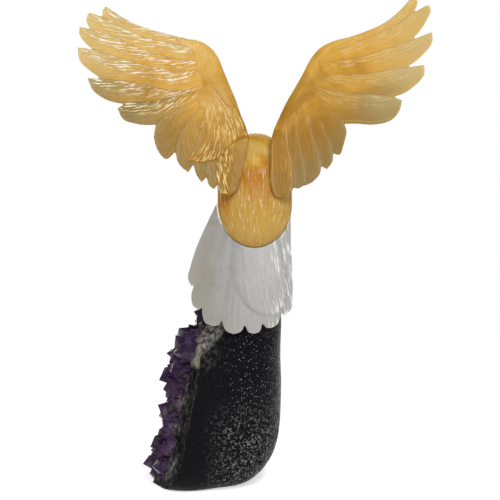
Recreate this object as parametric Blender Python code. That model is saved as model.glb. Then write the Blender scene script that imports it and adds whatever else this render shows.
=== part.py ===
"""Carved calcite eagle alighting on a chunk of amethyst geode.

Metres. X runs to the eagle's right, Y the way it faces and Z up.
The origin lies on the flat underside of the stone.
"""

import math
import random

import bmesh
import bpy
from mathutils import Vector, noise

MM = 0.001
ACROSS = Vector((1, 0, 0))
GLUE_GAP = 0.3 * MM  # between two pieces that are glued together
HIDDEN = 2 * MM  # how far one carved form starts inside the next

# Stone: a boulder with a rounded plan, cut by four broken faces
STONE_HEIGHT = 114 * MM
STONE_HALF_WIDTH = 41 * MM
STONE_HALF_DEPTH = 39 * MM
STONE_SQUARENESS = 2.6
STONE_LEAN = 0.10  # forward shift for each metre of height
STONE_TOP_ROUND = 8 * MM
STONE_TOP_INSET = 3.5 * MM
CRUST_ROUGHNESS = 0.9 * MM
CRUST_LUMP = 24 * MM
STONE_COLUMNS = 28

# Foot of the stone: how high and how far it rounds in, on its sharpest and on its roundest side
FOOT_AZIMUTH = -38
FOOT_BIAS = 1.6
SHARP_FOOT_ROUND = 10 * MM
SHARP_FOOT_INSET = 4 * MM
BROAD_FOOT_ROUND = 46 * MM
BROAD_FOOT_INSET = 29 * MM

# Broken faces: the azimuth and rise each one looks along, and how far it is from the middle of the stone
DRUSE_REACH = 17 * MM
TOP_REACH = 31 * MM
RIM_REACH = 26.5 * MM
WEDGE_REACH = 40.5 * MM
DRUSE_BREAK = (151, 10, DRUSE_REACH)
TOP_BREAK = (184, 40, TOP_REACH)
RIM_BREAK = (207, 12, RIM_REACH)
WEDGE_BREAK = (235, 33, WEDGE_REACH)
BREAKS = (DRUSE_BREAK, TOP_BREAK, RIM_BREAK, WEDGE_BREAK)

# Amethyst points
CRYSTAL_PITCH = 11.2 * MM
CRYSTAL_RADIUS = 7.3 * MM
CRYSTAL_SHANK = 1.7 * MM
CRYSTAL_TIP = 6.2 * MM
CRYSTAL_ROOT = 5 * MM
CRYSTAL_TAPER = 0.94
CRYSTAL_SIZES = (0.72, 1.18)
CRYSTAL_STRAY = 0.21  # how far a point strays from its row, as a share of the pitch
CRYSTAL_TILT = 17
CRYSTAL_SIDES = 6
CRYSTAL_TOP_CLEAR = 9 * MM  # keeps the points below the perch
CRYSTAL_BAND = 13 * MM  # how far they spread from the druse over the other broken faces
CRYSTAL_SEED = 5

# Where the feet stand: from the stone's back edge, and across from its middle
PERCH_SET = 31 * MM
PERCH_ACROSS = 20 * MM
TRUNK_ACROSS = 5 * MM  # the trunk leans this far past the feet

# Where the wings leave the trunk, above the perch and out from the trunk's middle
SHOULDER_UP = 99.5 * MM
LEFT_SHOULDER = 3.5 * MM
RIGHT_SHOULDER = 10 * MM

# Trunk: heights above the perch, and distances forward of the feet
TRUNK_HALF_WIDTH = 22.5 * MM
TRUNK_HALF_DEPTH = 19 * MM
RUMP_BACK = 17 * MM
RUMP_UP = 34 * MM
BEND_BACK = 8 * MM
BEND_DROP = 6.5 * MM  # the back bends over this far below the shoulders
BEND_UP = SHOULDER_UP - BEND_DROP
NECK_FORWARD = 27 * MM
NECK_DROP = 10 * MM
NECK_UP = BEND_UP - NECK_DROP
NECK_RADIUS = 12.5 * MM
RUMP_SHARE = 0.24
RUMP_CROWDING = 1.35  # brings the rings closer together towards the rump
RUMP_TIP = 0.004  # where the first ring stands, as a share of the trunk
SHOULDER_SHARE = 0.5
BREAST_FORWARD = 5 * MM
BREAST_UP = 52 * MM
BREAST_HALF_LENGTH = 26 * MM
BREAST_HALF_WIDTH = 21 * MM
BREAST_HALF_DEPTH = 18.5 * MM
BREAST_RISE = 60

# Legs
STANCE = 12 * MM
ANKLE_STANCE = 8.5 * MM
THIGH_RADIUS = 10 * MM
THIGH_TOP = 50 * MM
ANKLE_HEIGHT = 11 * MM
ANKLE_RADIUS = 4.2 * MM
SHANK_RADIUS = 3.2 * MM
TOE_LENGTHS = (14 * MM, 17 * MM, 15 * MM)  # inner, middle and outer
HIND_TOE_LENGTH = 12 * MM
TOE_RADIUS = 2.5 * MM
SLIM_TOE = 0.9
TOE_SPREAD = 26

# Wings: reach outward from the shoulder, and a sheet that leans and sweeps
WING_REACH = 101 * MM
ROOT_DROP = 24 * MM  # how far below the shoulder a wing lies on the trunk's back
ROOT_STAND = 0.7 * MM  # and how far the middle of its sheet stands behind it there
WING_RAKE = 0.34
WING_SWEEP = 36 * MM
FEATHER_THICKNESS = 3.2 * MM
FEATHER_EDGE = 1.3 * MM
FEATHER_TILT = 0.075
FEATHER_STEP = 0.2 * MM  # every other feather stands this much proud
COVERT_THICKNESS = 4.4 * MM
ARM_THICKNESS = 7 * MM
ARM_EDGE = 4.2 * MM

# Tail
TAIL_TOP = 54 * MM
TAIL_BACK = 16.5 * MM
TAIL_SLOPE = 0.30
TAIL_LENGTH = 73 * MM
TAIL_THICKNESS = 3.6 * MM
TAIL_DOME = 3 * MM
TAIL_CROWN = 0.9 * MM
TAIL_TILT = -0.02

# Head and beak
HEAD_LENGTH = 25 * MM
HEAD_HALF_WIDTH = 10.5 * MM
HEAD_HALF_HEIGHT = 11.5 * MM
HEAD_NOD = 18
HEAD_STEPS = 9
HEAD_SIDES = 16
FACE_SHARE, FACE_ROUND = 0.45, 0.70
EYE_SHARE = 0.68
EYE_RISE, EYE_OUT = 0.26, 0.86  # shares of the head's half height and half width there
EYE_RADIUS = 2.2 * MM
BEAK_LENGTH = 15 * MM
BEAK_HALF_HEIGHT = 6.3 * MM
BEAK_HALF_WIDTH = 4.6 * MM
BEAK_SIDES = 12

# Feathers: outward and up from the shoulder to the tip, width and bow, as shares of the wing's reach
LEFT_FLIGHT = (
    (0.843, 0.751, 0.080, 0.09),
    (0.942, 0.714, 0.105, 0.08),
    (0.993, 0.634, 0.115, 0.09),
    (1.000, 0.508, 0.132, 0.11),
    (0.942, 0.335, 0.130, 0.12),
    (0.769, 0.152, 0.142, 0.14),
)
LEFT_INNER = (
    (0.488, -0.142, 0.180, -0.22),
    (0.366, -0.226, 0.155, -0.13),
    (0.282, -0.288, 0.120, -0.07),
    (0.208, -0.325, 0.105, -0.04),
    (0.120, -0.350, 0.130, 0.00),
)
RIGHT_FLIGHT = (
    (0.853, 0.823, 0.105, 0.13),
    (0.932, 0.759, 0.138, 0.14),
    (0.950, 0.603, 0.138, 0.14),
    (0.902, 0.408, 0.142, 0.12),
    (0.768, 0.188, 0.160, 0.12),
)
RIGHT_INNER = (
    (0.395, -0.122, 0.155, -0.14),
    (0.332, -0.212, 0.125, -0.08),
    (0.240, -0.288, 0.140, -0.05),
    (0.160, -0.320, 0.115, -0.02),
    (0.068, -0.365, 0.135, 0.00),
)
# Quills start from the wrist down to the elbow, then on to the flank
LEFT_QUILLS = ((0.250, 0.510), (0.275, 0.250), (0.075, 0.045))
RIGHT_QUILLS = ((0.305, 0.500), (0.305, 0.240), (0.068, 0.045))
# Middle line of the arm, from inside the trunk to past the wrist
LEFT_ARM = ((0.100, -0.260), (0.145, 0.120), (0.185, 0.540), (0.560, 0.515))
RIGHT_ARM = ((0.085, -0.260), (0.140, 0.080), (0.270, 0.530), (0.620, 0.520))
ARM_WIDTH = 0.200
# Middle line of the coverts that lie over the quills
LEFT_COVERTS = ((0.120, -0.180), (0.230, 0.100), (0.330, 0.360), (0.660, 0.430))
RIGHT_COVERTS = ((0.100, -0.200), (0.220, 0.080), (0.360, 0.350), (0.680, 0.440))
COVERT_WIDTH = 0.300
TRAILING_SHARE = 0.62  # how much of a feather's width lies behind its shaft
BOW_PLACE = 0.66  # where along a feather it bows most
QUILL_WIDTH = 0.6  # a feather's width where it starts
TIP_CROWDING = 1.9  # brings a feather's rings closer together towards its tip
TIP_END = 0.995  # where its last ring stands
TIP_THINNESS = 0.6
UNDERSIDE = 0.6  # how far it bulges in front, against how far it does behind

# Tail feathers: across and down from the middle of the tail's top to the tip, and the width,
# as shares of the tail's length
TAIL_FEATHERS = (
    (-0.482, 0.600, 0.165),
    (-0.448, 0.800, 0.175),
    (-0.345, 0.930, 0.185),
    (-0.178, 1.000, 0.200),
    (-0.004, 0.995, 0.175),
    (0.134, 0.950, 0.180),
    (0.204, 0.850, 0.170),
)
TAIL_ROOT = (-0.255, 0.200)

STONE_BLACK = (0.02, 0.02, 0.022, 1)
HONEY = (0.78, 0.47, 0.10, 1)
MILK = (0.72, 0.71, 0.68, 1)
AMBER = (0.80, 0.50, 0.08, 1)


def mix(a, b, share):
    return a + (b - a) * share


def ease(share):
    """0 to 1 with a level start and end."""
    share = min(max(share, 0), 1)
    return share * share * (3 - 2 * share)


def dome(share):
    """A quarter round: 1 at a share of 0, and 0 at a share of 1."""
    return math.sqrt(max(1 - min(max(share, 0), 1) ** 2, 0))


def heading(azimuth, rise):
    """The unit vector that looks along an azimuth from +X and a rise above level, in degrees."""
    turn, lift = math.radians(azimuth), math.radians(rise)
    return Vector((math.cos(turn) * math.cos(lift), math.sin(turn) * math.cos(lift), math.sin(lift)))


def curve_point(points, share):
    """A point on the Bezier curve through the first and last of the points."""
    while len(points) > 1:
        points = [a.lerp(b, share) for a, b in zip(points, points[1:])]
    return points[0].copy()


def curve_way(points, share):
    """The direction of that curve."""
    step = 0.01
    ahead = curve_point(points, min(share + step, 1))
    return (ahead - curve_point(points, max(share - step, 0))).normalized()


def oval(middle, across, up, half_width, half_height, sides):
    """A ring of points round a middle, in the plane of two unit vectors."""
    turns = [2 * math.pi * k / sides for k in range(sides)]
    return [middle + across * half_width * math.cos(a) + up * half_height * math.sin(a) for a in turns]


def solid(name, form):
    """An object that holds the finished form."""
    mesh = bpy.data.meshes.new(name)
    form.to_mesh(mesh)
    form.free()
    made = bpy.data.objects.new(name, mesh)
    bpy.context.scene.collection.objects.link(made)
    return made


def loft(name, rings):
    """A closed solid through rings of points that all run the same way round."""
    form = bmesh.new()
    corners = [[form.verts.new(point) for point in ring] for ring in rings]
    for low, high in zip(corners, corners[1:]):
        for k, corner in enumerate(low):
            form.faces.new((corner, low[k - 1], high[k - 1], high[k]))
    form.faces.new(corners[0])
    form.faces.new(corners[-1])
    bmesh.ops.recalc_face_normals(form, faces=form.faces)
    return solid(name, form)


def egg(name, middle, way, half_length, half_width, half_depth, sides=10, rings=6):
    """A smooth egg shape that lies along a way."""
    form = bmesh.new()
    bmesh.ops.create_uvsphere(form, u_segments=sides, v_segments=rings, radius=1)
    bmesh.ops.scale(form, verts=form.verts, vec=(half_width, half_depth, half_length))
    form.transform(Vector((0, 0, 1)).rotation_difference(way).to_matrix().to_4x4())
    bmesh.ops.translate(form, verts=form.verts, vec=middle)
    return solid(name, form)


def limb(name, points, radii, sides):
    """A round form along points, with a radius at each."""
    rings = []
    for k, (point, radius) in enumerate(zip(points, radii)):
        way = (points[min(k + 1, len(points) - 1)] - points[max(k - 1, 0)]).normalized()
        across = Vector((0, 0, 1)).cross(way)
        across = across.normalized() if across.length > 0.1 else ACROSS
        rings.append(oval(point, across, way.cross(across), radius, radius, sides))
    return loft(name, rings)


def make_guide(tool):
    """A tool shapes other pieces and is no piece itself."""
    tool.hide_render = True
    tool.display_type = "WIRE"


def united(name, forms):
    """One closed solid from forms that run into each other."""
    base, *others = forms
    base.name = base.data.name = name
    group = bpy.data.collections.new(name + " forms")
    bpy.context.scene.collection.children.link(group)
    group.hide_render = True
    for other in others:
        bpy.context.scene.collection.objects.unlink(other)
        group.objects.link(other)
        make_guide(other)
    union = base.modifiers.new("Union", "BOOLEAN")
    union.operation = "UNION"
    union.operand_type = "COLLECTION"
    union.collection = group
    return base


def cut_by(piece, tool):
    """Takes the tool's shape out of the piece."""
    make_guide(tool)
    cut = piece.modifiers.new("Seat", "BOOLEAN")
    cut.operation = "DIFFERENCE"
    cut.object = tool


def outer_shell(piece):
    """Applies the piece's modifiers and closes the pockets sealed between its forms."""
    bpy.context.view_layer.update()
    mesh = bpy.data.meshes.new_from_object(piece.evaluated_get(bpy.context.evaluated_depsgraph_get()))
    piece.modifiers.clear()
    piece.data = mesh
    form = bmesh.new()
    form.from_mesh(mesh)
    shells, left = [], set(form.verts)
    while left:
        shell, edge = set(), [left.pop()]
        while edge:
            vert = edge.pop()
            shell.add(vert)
            near = {other for link in vert.link_edges for other in link.verts} & left
            left -= near
            edge.extend(near)
        shells.append(shell)
    shells.sort(key=len)
    bmesh.ops.delete(form, geom=[vert for shell in shells[:-1] for vert in shell], context="VERTS")
    form.to_mesh(mesh)
    form.free()


def finish(piece, colour, roughness, crease=50):
    material = bpy.data.materials.new(piece.name)
    material.use_nodes = True
    shader = material.node_tree.nodes["Principled BSDF"]
    shader.inputs["Base Color"].default_value = colour
    shader.inputs["Roughness"].default_value = roughness
    shader.inputs["Metallic"].default_value = 0
    piece.data.materials.append(material)
    piece.data.shade_smooth()
    piece.data.set_sharp_from_angle(angle=math.radians(crease))


def stone_back(height):
    """How far forward the stone's back stands at a height, before it rounds in."""
    return STONE_LEAN * height - STONE_HALF_DEPTH


def perch():
    """The point between the feet, on top of the stone."""
    return Vector((PERCH_ACROSS, stone_back(STONE_HEIGHT) + PERCH_SET, STONE_HEIGHT))


def hips():
    """The point below the trunk's middle, at the height of the perch."""
    return perch() + ACROSS * TRUNK_ACROSS


def foot_inset(turn, height):
    """How far the foot draws in at a height, on the side that looks along a turn."""
    broad = ((1 + math.cos(turn - math.radians(FOOT_AZIMUTH))) / 2) ** FOOT_BIAS
    rise = mix(SHARP_FOOT_ROUND, BROAD_FOOT_ROUND, broad)
    inset = mix(SHARP_FOOT_INSET, BROAD_FOOT_INSET, broad)
    return inset * (1 - dome(1 - height / rise))


def stone_ring(height):
    """The boulder's outline at a height."""
    top = STONE_TOP_INSET * (1 - dome(1 - (STONE_HEIGHT - height) / STONE_TOP_ROUND))
    ring = []
    for k in range(STONE_COLUMNS):
        turn = 2 * math.pi * k / STONE_COLUMNS
        across, along = math.cos(turn), math.sin(turn)
        spread = abs(across) ** STONE_SQUARENESS + abs(along) ** STONE_SQUARENESS
        share = spread ** (-1 / STONE_SQUARENESS)
        inset = foot_inset(turn, height) + top
        x = across * (STONE_HALF_WIDTH * share - inset)
        y = along * (STONE_HALF_DEPTH * share - inset) + STONE_LEAN * height
        lump = noise.noise(Vector((x, y, height)) / CRUST_LUMP) * CRUST_ROUGHNESS
        ring.append(Vector((x + across * lump, y + along * lump, height)))
    return ring


def stone_levels():
    """Heights that are closer together where the foot and the top round in."""
    foot_levels, middle_levels, top_levels = 6, 4, 3
    end = STONE_HEIGHT - STONE_TOP_ROUND
    foot = [BROAD_FOOT_ROUND * (k / foot_levels) ** 2 for k in range(foot_levels)]
    middle = [mix(BROAD_FOOT_ROUND, end, k / middle_levels) for k in range(middle_levels)]
    top = [end + STONE_TOP_ROUND * math.sin(math.pi / 2 * k / top_levels) for k in range(top_levels + 1)]
    return foot + middle + top


def stone_middle():
    height = STONE_HEIGHT / 2
    return Vector((0, STONE_LEAN * height, height))


def boulder():
    """The rounded boulder, cut flat at each broken face."""
    block = loft("boulder", [stone_ring(height) for height in stone_levels()])
    form = bmesh.new()
    form.from_mesh(block.data)
    bpy.data.objects.remove(block)
    for azimuth, rise, reach in BREAKS:
        way = heading(azimuth, rise)
        everything = form.verts[:] + form.edges[:] + form.faces[:]
        cut = bmesh.ops.bisect_plane(
            form, geom=everything, plane_co=stone_middle() + way * reach, plane_no=way, clear_outer=True
        )
        edges = [item for item in cut["geom_cut"] if isinstance(item, bmesh.types.BMEdge)]
        bmesh.ops.holes_fill(form, edges=edges)
    bmesh.ops.recalc_face_normals(form, faces=form.faces)
    return solid("boulder", form)


def past_break(point, broken):
    """How far a point lies outside a broken face."""
    azimuth, rise, reach = broken
    return (point - stone_middle()).dot(heading(azimuth, rise)) - reach


def inside_stone(point, margin):
    """Whether a point is inside the boulder's outline by a margin, and behind its broken faces."""
    if not margin < point.z < STONE_HEIGHT - margin / 2:
        return False
    middle = Vector((0, STONE_LEAN * point.z, point.z))
    offset = point - middle
    turn = math.atan2(offset.y / STONE_HALF_DEPTH, offset.x / STONE_HALF_WIDTH)
    edge = stone_ring(point.z)[round(turn / (2 * math.pi) * STONE_COLUMNS) % STONE_COLUMNS] - middle
    if offset.length > edge.length - margin:
        return False
    return all(past_break(point, broken) < margin / 2 for broken in BREAKS)


def crystal(name, foot, way, radius, shank, tip, turn):
    """A six-sided prism with a pointed end."""
    form = bmesh.new()
    shoulder = radius * CRYSTAL_TAPER
    bmesh.ops.create_cone(
        form, cap_ends=True, segments=CRYSTAL_SIDES, radius1=radius, radius2=shoulder, depth=shank
    )
    top = max(form.faces, key=lambda face: face.calc_center_median().z)
    bmesh.ops.poke(form, faces=[top], offset=tip)
    bmesh.ops.translate(form, verts=form.verts, vec=(0, 0, shank / 2))
    twist = Vector((math.cos(turn), math.sin(turn), 0))
    twist = ACROSS.rotation_difference(twist).to_matrix().to_4x4()
    form.transform(Vector((0, 0, 1)).rotation_difference(way).to_matrix().to_4x4() @ twist)
    bmesh.ops.translate(form, verts=form.verts, vec=foot)
    return solid(name, form)


def crystals_on(broken, band, chance):
    """Points planted in rows over one broken face, within a band from the druse."""
    azimuth, face_rise, reach = broken
    way = heading(azimuth, face_rise)
    along = heading(azimuth + 90, 0)
    up = way.cross(along).normalized()
    centre = stone_middle() + way * reach
    rows = math.ceil(STONE_HEIGHT / CRYSTAL_PITCH / 2) + 1
    columns = math.ceil(STONE_HALF_WIDTH / CRYSTAL_PITCH) + 1
    made = []
    for row in range(-rows, rows + 1):
        for column in range(-columns, columns + 1):
            shift = 0.5 * (row % 2) + chance.uniform(-CRYSTAL_STRAY, CRYSTAL_STRAY)
            rise = (row + chance.uniform(-CRYSTAL_STRAY, CRYSTAL_STRAY)) * math.sin(math.radians(60))
            size = chance.uniform(*CRYSTAL_SIZES)
            lean = [math.tan(math.radians(chance.uniform(-CRYSTAL_TILT, CRYSTAL_TILT))) for _ in range(2)]
            turn = chance.uniform(0, 2 * math.pi / CRYSTAL_SIDES)
            foot = centre + (along * (column + shift) + up * rise) * CRYSTAL_PITCH
            if not inside_stone(foot - way * HIDDEN, CRYSTAL_RADIUS / 2):
                continue
            if past_break(foot, DRUSE_BREAK) < -band:
                continue
            tilt = (way + along * lean[0] + up * lean[1]).normalized()
            low = foot - tilt * CRYSTAL_ROOT
            if not CRYSTAL_RADIUS * size < low.z < STONE_HEIGHT - CRYSTAL_TOP_CLEAR:
                continue
            made.append(
                crystal(
                    f"point {azimuth} {row} {column}", low, tilt, CRYSTAL_RADIUS * size,
                    CRYSTAL_ROOT + CRYSTAL_SHANK * size, CRYSTAL_TIP * size, turn,
                )
            )
    return made


def stone():
    chance = random.Random(CRYSTAL_SEED)
    points = []
    for broken in (DRUSE_BREAK, RIM_BREAK, TOP_BREAK):
        points += crystals_on(broken, CRYSTAL_BAND, chance)
    piece = united("amethyst_stone", [boulder(), *points])
    outer_shell(piece)
    finish(piece, STONE_BLACK, 0.35, crease=28)


def trunk_axis():
    """From the tip of the rump, up over the back, to the end of the neck."""
    foot = hips()
    return [
        foot + Vector((0, -RUMP_BACK, RUMP_UP)),
        foot + Vector((0, -BEND_BACK, BEND_UP)),
        foot + Vector((0, NECK_FORWARD, NECK_UP)),
    ]


def trunk_rings(grow=0.0, sides=18, steps=12):
    """Ovals along the trunk: round at the rump, full over the hips and narrow at the neck."""
    axis = trunk_axis()
    rings = []
    for step in range(steps + 1):
        share = max((step / steps) ** RUMP_CROWDING, RUMP_TIP)
        narrow = ease((share - SHOULDER_SHARE) / (1 - SHOULDER_SHARE))
        swell = dome(1 - share / RUMP_SHARE)
        width = mix(TRUNK_HALF_WIDTH, NECK_RADIUS, narrow) * swell + grow
        depth = mix(TRUNK_HALF_DEPTH, NECK_RADIUS, narrow) * swell + grow
        way = curve_way(axis, share)
        rings.append(oval(curve_point(axis, share), ACROSS, way.cross(ACROSS), width, depth, sides))
    if grow:
        rings.insert(0, [point - curve_way(axis, 0) * grow for point in rings[0]])
        rings.append([point + curve_way(axis, 1) * grow for point in rings[-1]])
    return rings


def trunk_back(height):
    """How far forward the trunk's back stands at a height above the perch."""
    line = [min(ring, key=lambda point: point.y) for ring in trunk_rings()]
    level = hips().z + height
    for low, high in zip(line, line[1:]):
        if low.z <= level < high.z:
            return mix(low.y, high.y, (level - low.z) / (high.z - low.z))
    return max(line, key=lambda point: point.z).y


def toe(name, foot, turn, length, radius):
    """A toe that leaves the ankle, arches and ends in a talon on the perch."""
    out = Vector((math.sin(turn), math.cos(turn), 0))
    shape = ((0, 2.0, 1.1), (0.4, 1.55, 0.95), (0.7, 1.2, 0.85), (0.86, 0.95, 0.5), (1, 0.32, 0.14))
    points = [foot + out * length * far + Vector((0, 0, radius * high + GLUE_GAP)) for far, high, _ in shape]
    return limb(name, points, [radius * thick for _, _, thick in shape], sides=6)


def leg(side):
    """A feathered thigh, a bare shank and four toes."""
    foot = perch() + ACROSS * side * ANKLE_STANCE
    top = hips() + Vector((side * STANCE, 0, THIGH_TOP))
    ankle = foot + Vector((0, 0, ANKLE_HEIGHT))
    points = [top.lerp(ankle, share) for share in (0, 0.2, 0.4, 0.6, 0.8, 0.93, 1)]
    radii = [mix(ANKLE_RADIUS, THIGH_RADIUS, fill) for fill in (0.1, 0.85, 1, 0.85, 0.5, 0.2, 0.05)]
    thigh = limb(f"thigh {side}", points, radii, sides=10)
    shank = limb(
        f"shank {side}", [ankle + Vector((0, 0, HIDDEN)), foot + Vector((0, 0, TOE_RADIUS + GLUE_GAP))],
        [SHANK_RADIUS] * 2, sides=8,
    )
    spread = math.radians(TOE_SPREAD)
    toes = [toe(f"hind toe {side}", foot, math.pi, HIND_TOE_LENGTH, TOE_RADIUS)]
    for k, length, slim in zip((-1, 0, 1), TOE_LENGTHS, (SLIM_TOE, 1, SLIM_TOE)):
        toes.append(toe(f"toe {side} {k}", foot, side * k * spread, length, TOE_RADIUS * slim))
    return [thigh, shank, *toes]


def body():
    trunk = loft("trunk", trunk_rings())
    breast = egg(
        "breast", hips() + Vector((0, BREAST_FORWARD, BREAST_UP)), heading(90, BREAST_RISE),
        BREAST_HALF_LENGTH, BREAST_HALF_WIDTH, BREAST_HALF_DEPTH, sides=12, rings=7,
    )
    piece = united("body", [trunk, breast, *leg(-1), *leg(1)])
    outer_shell(piece)
    finish(piece, HONEY, 0.3)


def wing_place(side):
    """Puts a wing's outward, up and outside-in coordinates in the part's frame."""
    across = LEFT_SHOULDER if side < 0 else RIGHT_SHOULDER
    root = trunk_back(SHOULDER_UP - ROOT_DROP) - ROOT_STAND
    shoulder = Vector((hips().x + side * across, root + WING_RAKE * ROOT_DROP, hips().z + SHOULDER_UP))

    def place(out, up, proud):
        sweep = WING_SWEEP * max(out / WING_REACH, 0) ** 1.6
        return shoulder + Vector((side * out, WING_RAKE * up - sweep - proud, up))

    return place


def tail_place():
    """Puts the tail's across, down and outside-in coordinates in the part's frame."""
    root = hips() + Vector((0, -TAIL_BACK, TAIL_TOP))

    def place(across, down, proud):
        curve = TAIL_DOME * (across / (TAIL_LENGTH * 0.4)) ** 2
        return root + Vector((across, curve - TAIL_SLOPE * down - proud, -down))

    return place


def blade(name, place, line, widths, thickness, rims, tilt, lift, taper, steps=7):
    """A feather along a line: domed across, with a rim at its leading and its trailing edge."""
    rings = []
    for step in range(steps + 1):
        share = min(1 - (1 - step / steps) ** TIP_CROWDING, TIP_END)
        middle, way = curve_point(line, share), curve_way(line, share)
        side = Vector((-way.y, way.x))
        lead, trail = (width * taper(share) for width in widths)
        thick = thickness / 2 * mix(1, TIP_THINNESS, share)
        front, back = (min(rim / 2, thick) for rim in rims)
        outside = ((lead, front), (0, thick), (-trail, back))
        inside = ((-trail, -back), (0, -thick * UNDERSIDE), (lead, -front))
        ring = []
        for across, high in outside + inside:
            spot = middle + side * across
            ring.append(place(spot.x, spot.y, high + lift + tilt * across))
        rings.append(ring)
    return loft(name, rings)


def feather_taper(share):
    """Narrow at the quill, full from a third of the way, and tapering to a round tip."""
    tip = max((share - 0.5) / (TIP_END + 0.01 - 0.5), 0)
    return mix(QUILL_WIDTH, 1, ease(share / 0.35)) * max(1 - tip ** 2.2, 0.01) ** 0.75


def arm_taper(share):
    """Round where it leaves the trunk, and drawn out past the wrist."""
    wrist, blunt = 0.65, 0.05
    return dome(1 - share / 0.3) * (1 - ease((share - wrist) / (1 - wrist))) + blunt


def tail_taper(share):
    """Narrow under the rump, and a half round at the tip."""
    bend, blunt = 0.86, 0.2
    return mix(QUILL_WIDTH, 1, ease(share / 0.4)) * max(dome((share - bend) / (1 - bend)), blunt)


def quill_start(quills, share):
    """A point on the line that the quills start from, at a share of its length."""
    top, elbow, flank = (Vector(point) for point in quills)
    if share < 0.5:
        return top.lerp(elbow, share / 0.5)
    return elbow.lerp(flank, (share - 0.5) / 0.5)


def wing(side, name, arm, coverts, quills, flight, inner):
    place = wing_place(side)
    widths = [ARM_WIDTH / 2 * WING_REACH] * 2
    line = [Vector(point) * WING_REACH for point in arm]
    rims = (ARM_EDGE, FEATHER_EDGE)
    forms = [blade("arm", place, line, widths, ARM_THICKNESS, rims, 0, 0, arm_taper, steps=8)]
    widths = [COVERT_WIDTH / 2 * WING_REACH] * 2
    line = [Vector(point) * WING_REACH for point in coverts]
    rims = (FEATHER_EDGE, FEATHER_EDGE)
    forms.append(blade("coverts", place, line, widths, COVERT_THICKNESS, rims, 0, 0, arm_taper, steps=6))
    last = len(flight) - 1
    for k, (out, up, width, bow) in enumerate([*flight, *inner]):
        share = 0.5 * k / last if k <= last else 0.5 + 0.5 * (k - last) / len(inner)
        start = quill_start(quills, share) * WING_REACH
        tip = Vector((out, up)) * WING_REACH
        chord = tip - start
        line = [start, start.lerp(tip, BOW_PLACE) + Vector((chord.y, -chord.x)) * (2 * bow), tip]
        widths = [width * WING_REACH * (1 - TRAILING_SHARE), width * WING_REACH * TRAILING_SHARE]
        thickness, lift = FEATHER_THICKNESS, (k % 2) * FEATHER_STEP
        forms.append(
            blade(f"feather {k}", place, line, widths, thickness, rims, FEATHER_TILT, lift, feather_taper)
        )
    piece = united(name, forms)
    cut_by(piece, loft(name + " seat", trunk_rings(grow=GLUE_GAP)))
    finish(piece, HONEY, 0.3)


def tail():
    place = tail_place()
    forms = []
    last = len(TAIL_FEATHERS) - 1
    for k, (across, down, width) in enumerate(TAIL_FEATHERS):
        start = Vector((mix(*TAIL_ROOT, k / last), 0)) * TAIL_LENGTH
        tip = Vector((across, down)) * TAIL_LENGTH
        widths = [width / 2 * TAIL_LENGTH] * 2
        lift = TAIL_CROWN * (1 - abs(2 * k / last - 1)) + (k % 2) * FEATHER_STEP
        rims = [TAIL_THICKNESS / 2] * 2
        line = [start, start.lerp(tip, 0.5), tip]
        name = f"tail feather {k}"
        forms.append(blade(name, place, line, widths, TAIL_THICKNESS, rims, TAIL_TILT, lift, tail_taper))
    piece = united("tail", forms)
    cut_by(piece, loft("tail seat", trunk_rings(grow=GLUE_GAP)))
    finish(piece, MILK, 0.3)


def head_line():
    """From the neck's end, forward, and down by the nod, to the foot of the beak."""
    axis = trunk_axis()
    way = curve_way(axis, 1)
    start = axis[-1] + way * GLUE_GAP
    rise = math.degrees(math.asin(way.z)) - HEAD_NOD
    knee = start + way * HEAD_LENGTH / 2
    return [start, knee, knee + heading(90, rise) * HEAD_LENGTH / 2]


def head_size(share):
    """Half the head's width and half its height along its line."""
    narrow = dome((share - FACE_SHARE) / FACE_ROUND)
    fill = ease(share / FACE_SHARE)
    half_width = mix(NECK_RADIUS, HEAD_HALF_WIDTH, fill)
    half_height = mix(NECK_RADIUS, HEAD_HALF_HEIGHT, fill)
    return half_width * narrow, half_height * narrow


def head():
    line = head_line()
    rings = []
    for step in range(HEAD_STEPS + 1):
        share = step / HEAD_STEPS
        way = curve_way(line, share)
        rings.append(oval(curve_point(line, share), ACROSS, ACROSS.cross(way), *head_size(share), HEAD_SIDES))
    forms = [loft("skull", rings)]
    way = curve_way(line, EYE_SHARE)
    rise = ACROSS.cross(way)
    half_width, half_height = head_size(EYE_SHARE)
    for side in (-1, 1):
        out = ACROSS * side * half_width * EYE_OUT
        eye = curve_point(line, EYE_SHARE) + rise * half_height * EYE_RISE + out
        forms.append(egg("eye", eye, way, EYE_RADIUS, EYE_RADIUS, EYE_RADIUS))
        brow = eye + rise * EYE_RADIUS * 1.05 - ACROSS * side * EYE_RADIUS * 0.25
        forms.append(egg("brow", brow, way, EYE_RADIUS * 2.3, EYE_RADIUS * 0.95, EYE_RADIUS * 0.6))
    piece = united("head", forms)
    outer_shell(piece)
    finish(piece, MILK, 0.3)


def beak():
    """The hooked upper bill and the lower bill, carved as one."""
    line = head_line()
    way = curve_way(line, 1)
    rise = ACROSS.cross(way)
    base = line[-1] + way * GLUE_GAP
    shape = (
        (0, 0, 1), (0.25, 0.04, 0.97), (0.5, 0.03, 0.86), (0.72, -0.05, 0.68), (0.9, -0.22, 0.45),
        (0.98, -0.45, 0.26), (0.97, -0.66, 0.07),
    )
    points = [base + (way * far + rise * high) * BEAK_LENGTH for far, high, _ in shape]
    rings = []
    for k, (point, (_, _, size)) in enumerate(zip(points, shape)):
        run = (points[min(k + 1, len(points) - 1)] - points[max(k - 1, 0)]).normalized() if k else way
        half_width, half_height = BEAK_HALF_WIDTH * size, BEAK_HALF_HEIGHT * size
        rings.append(oval(point, ACROSS, ACROSS.cross(run), half_width, half_height, BEAK_SIDES))
    finish(loft("beak", rings), AMBER, 0.25)


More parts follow.
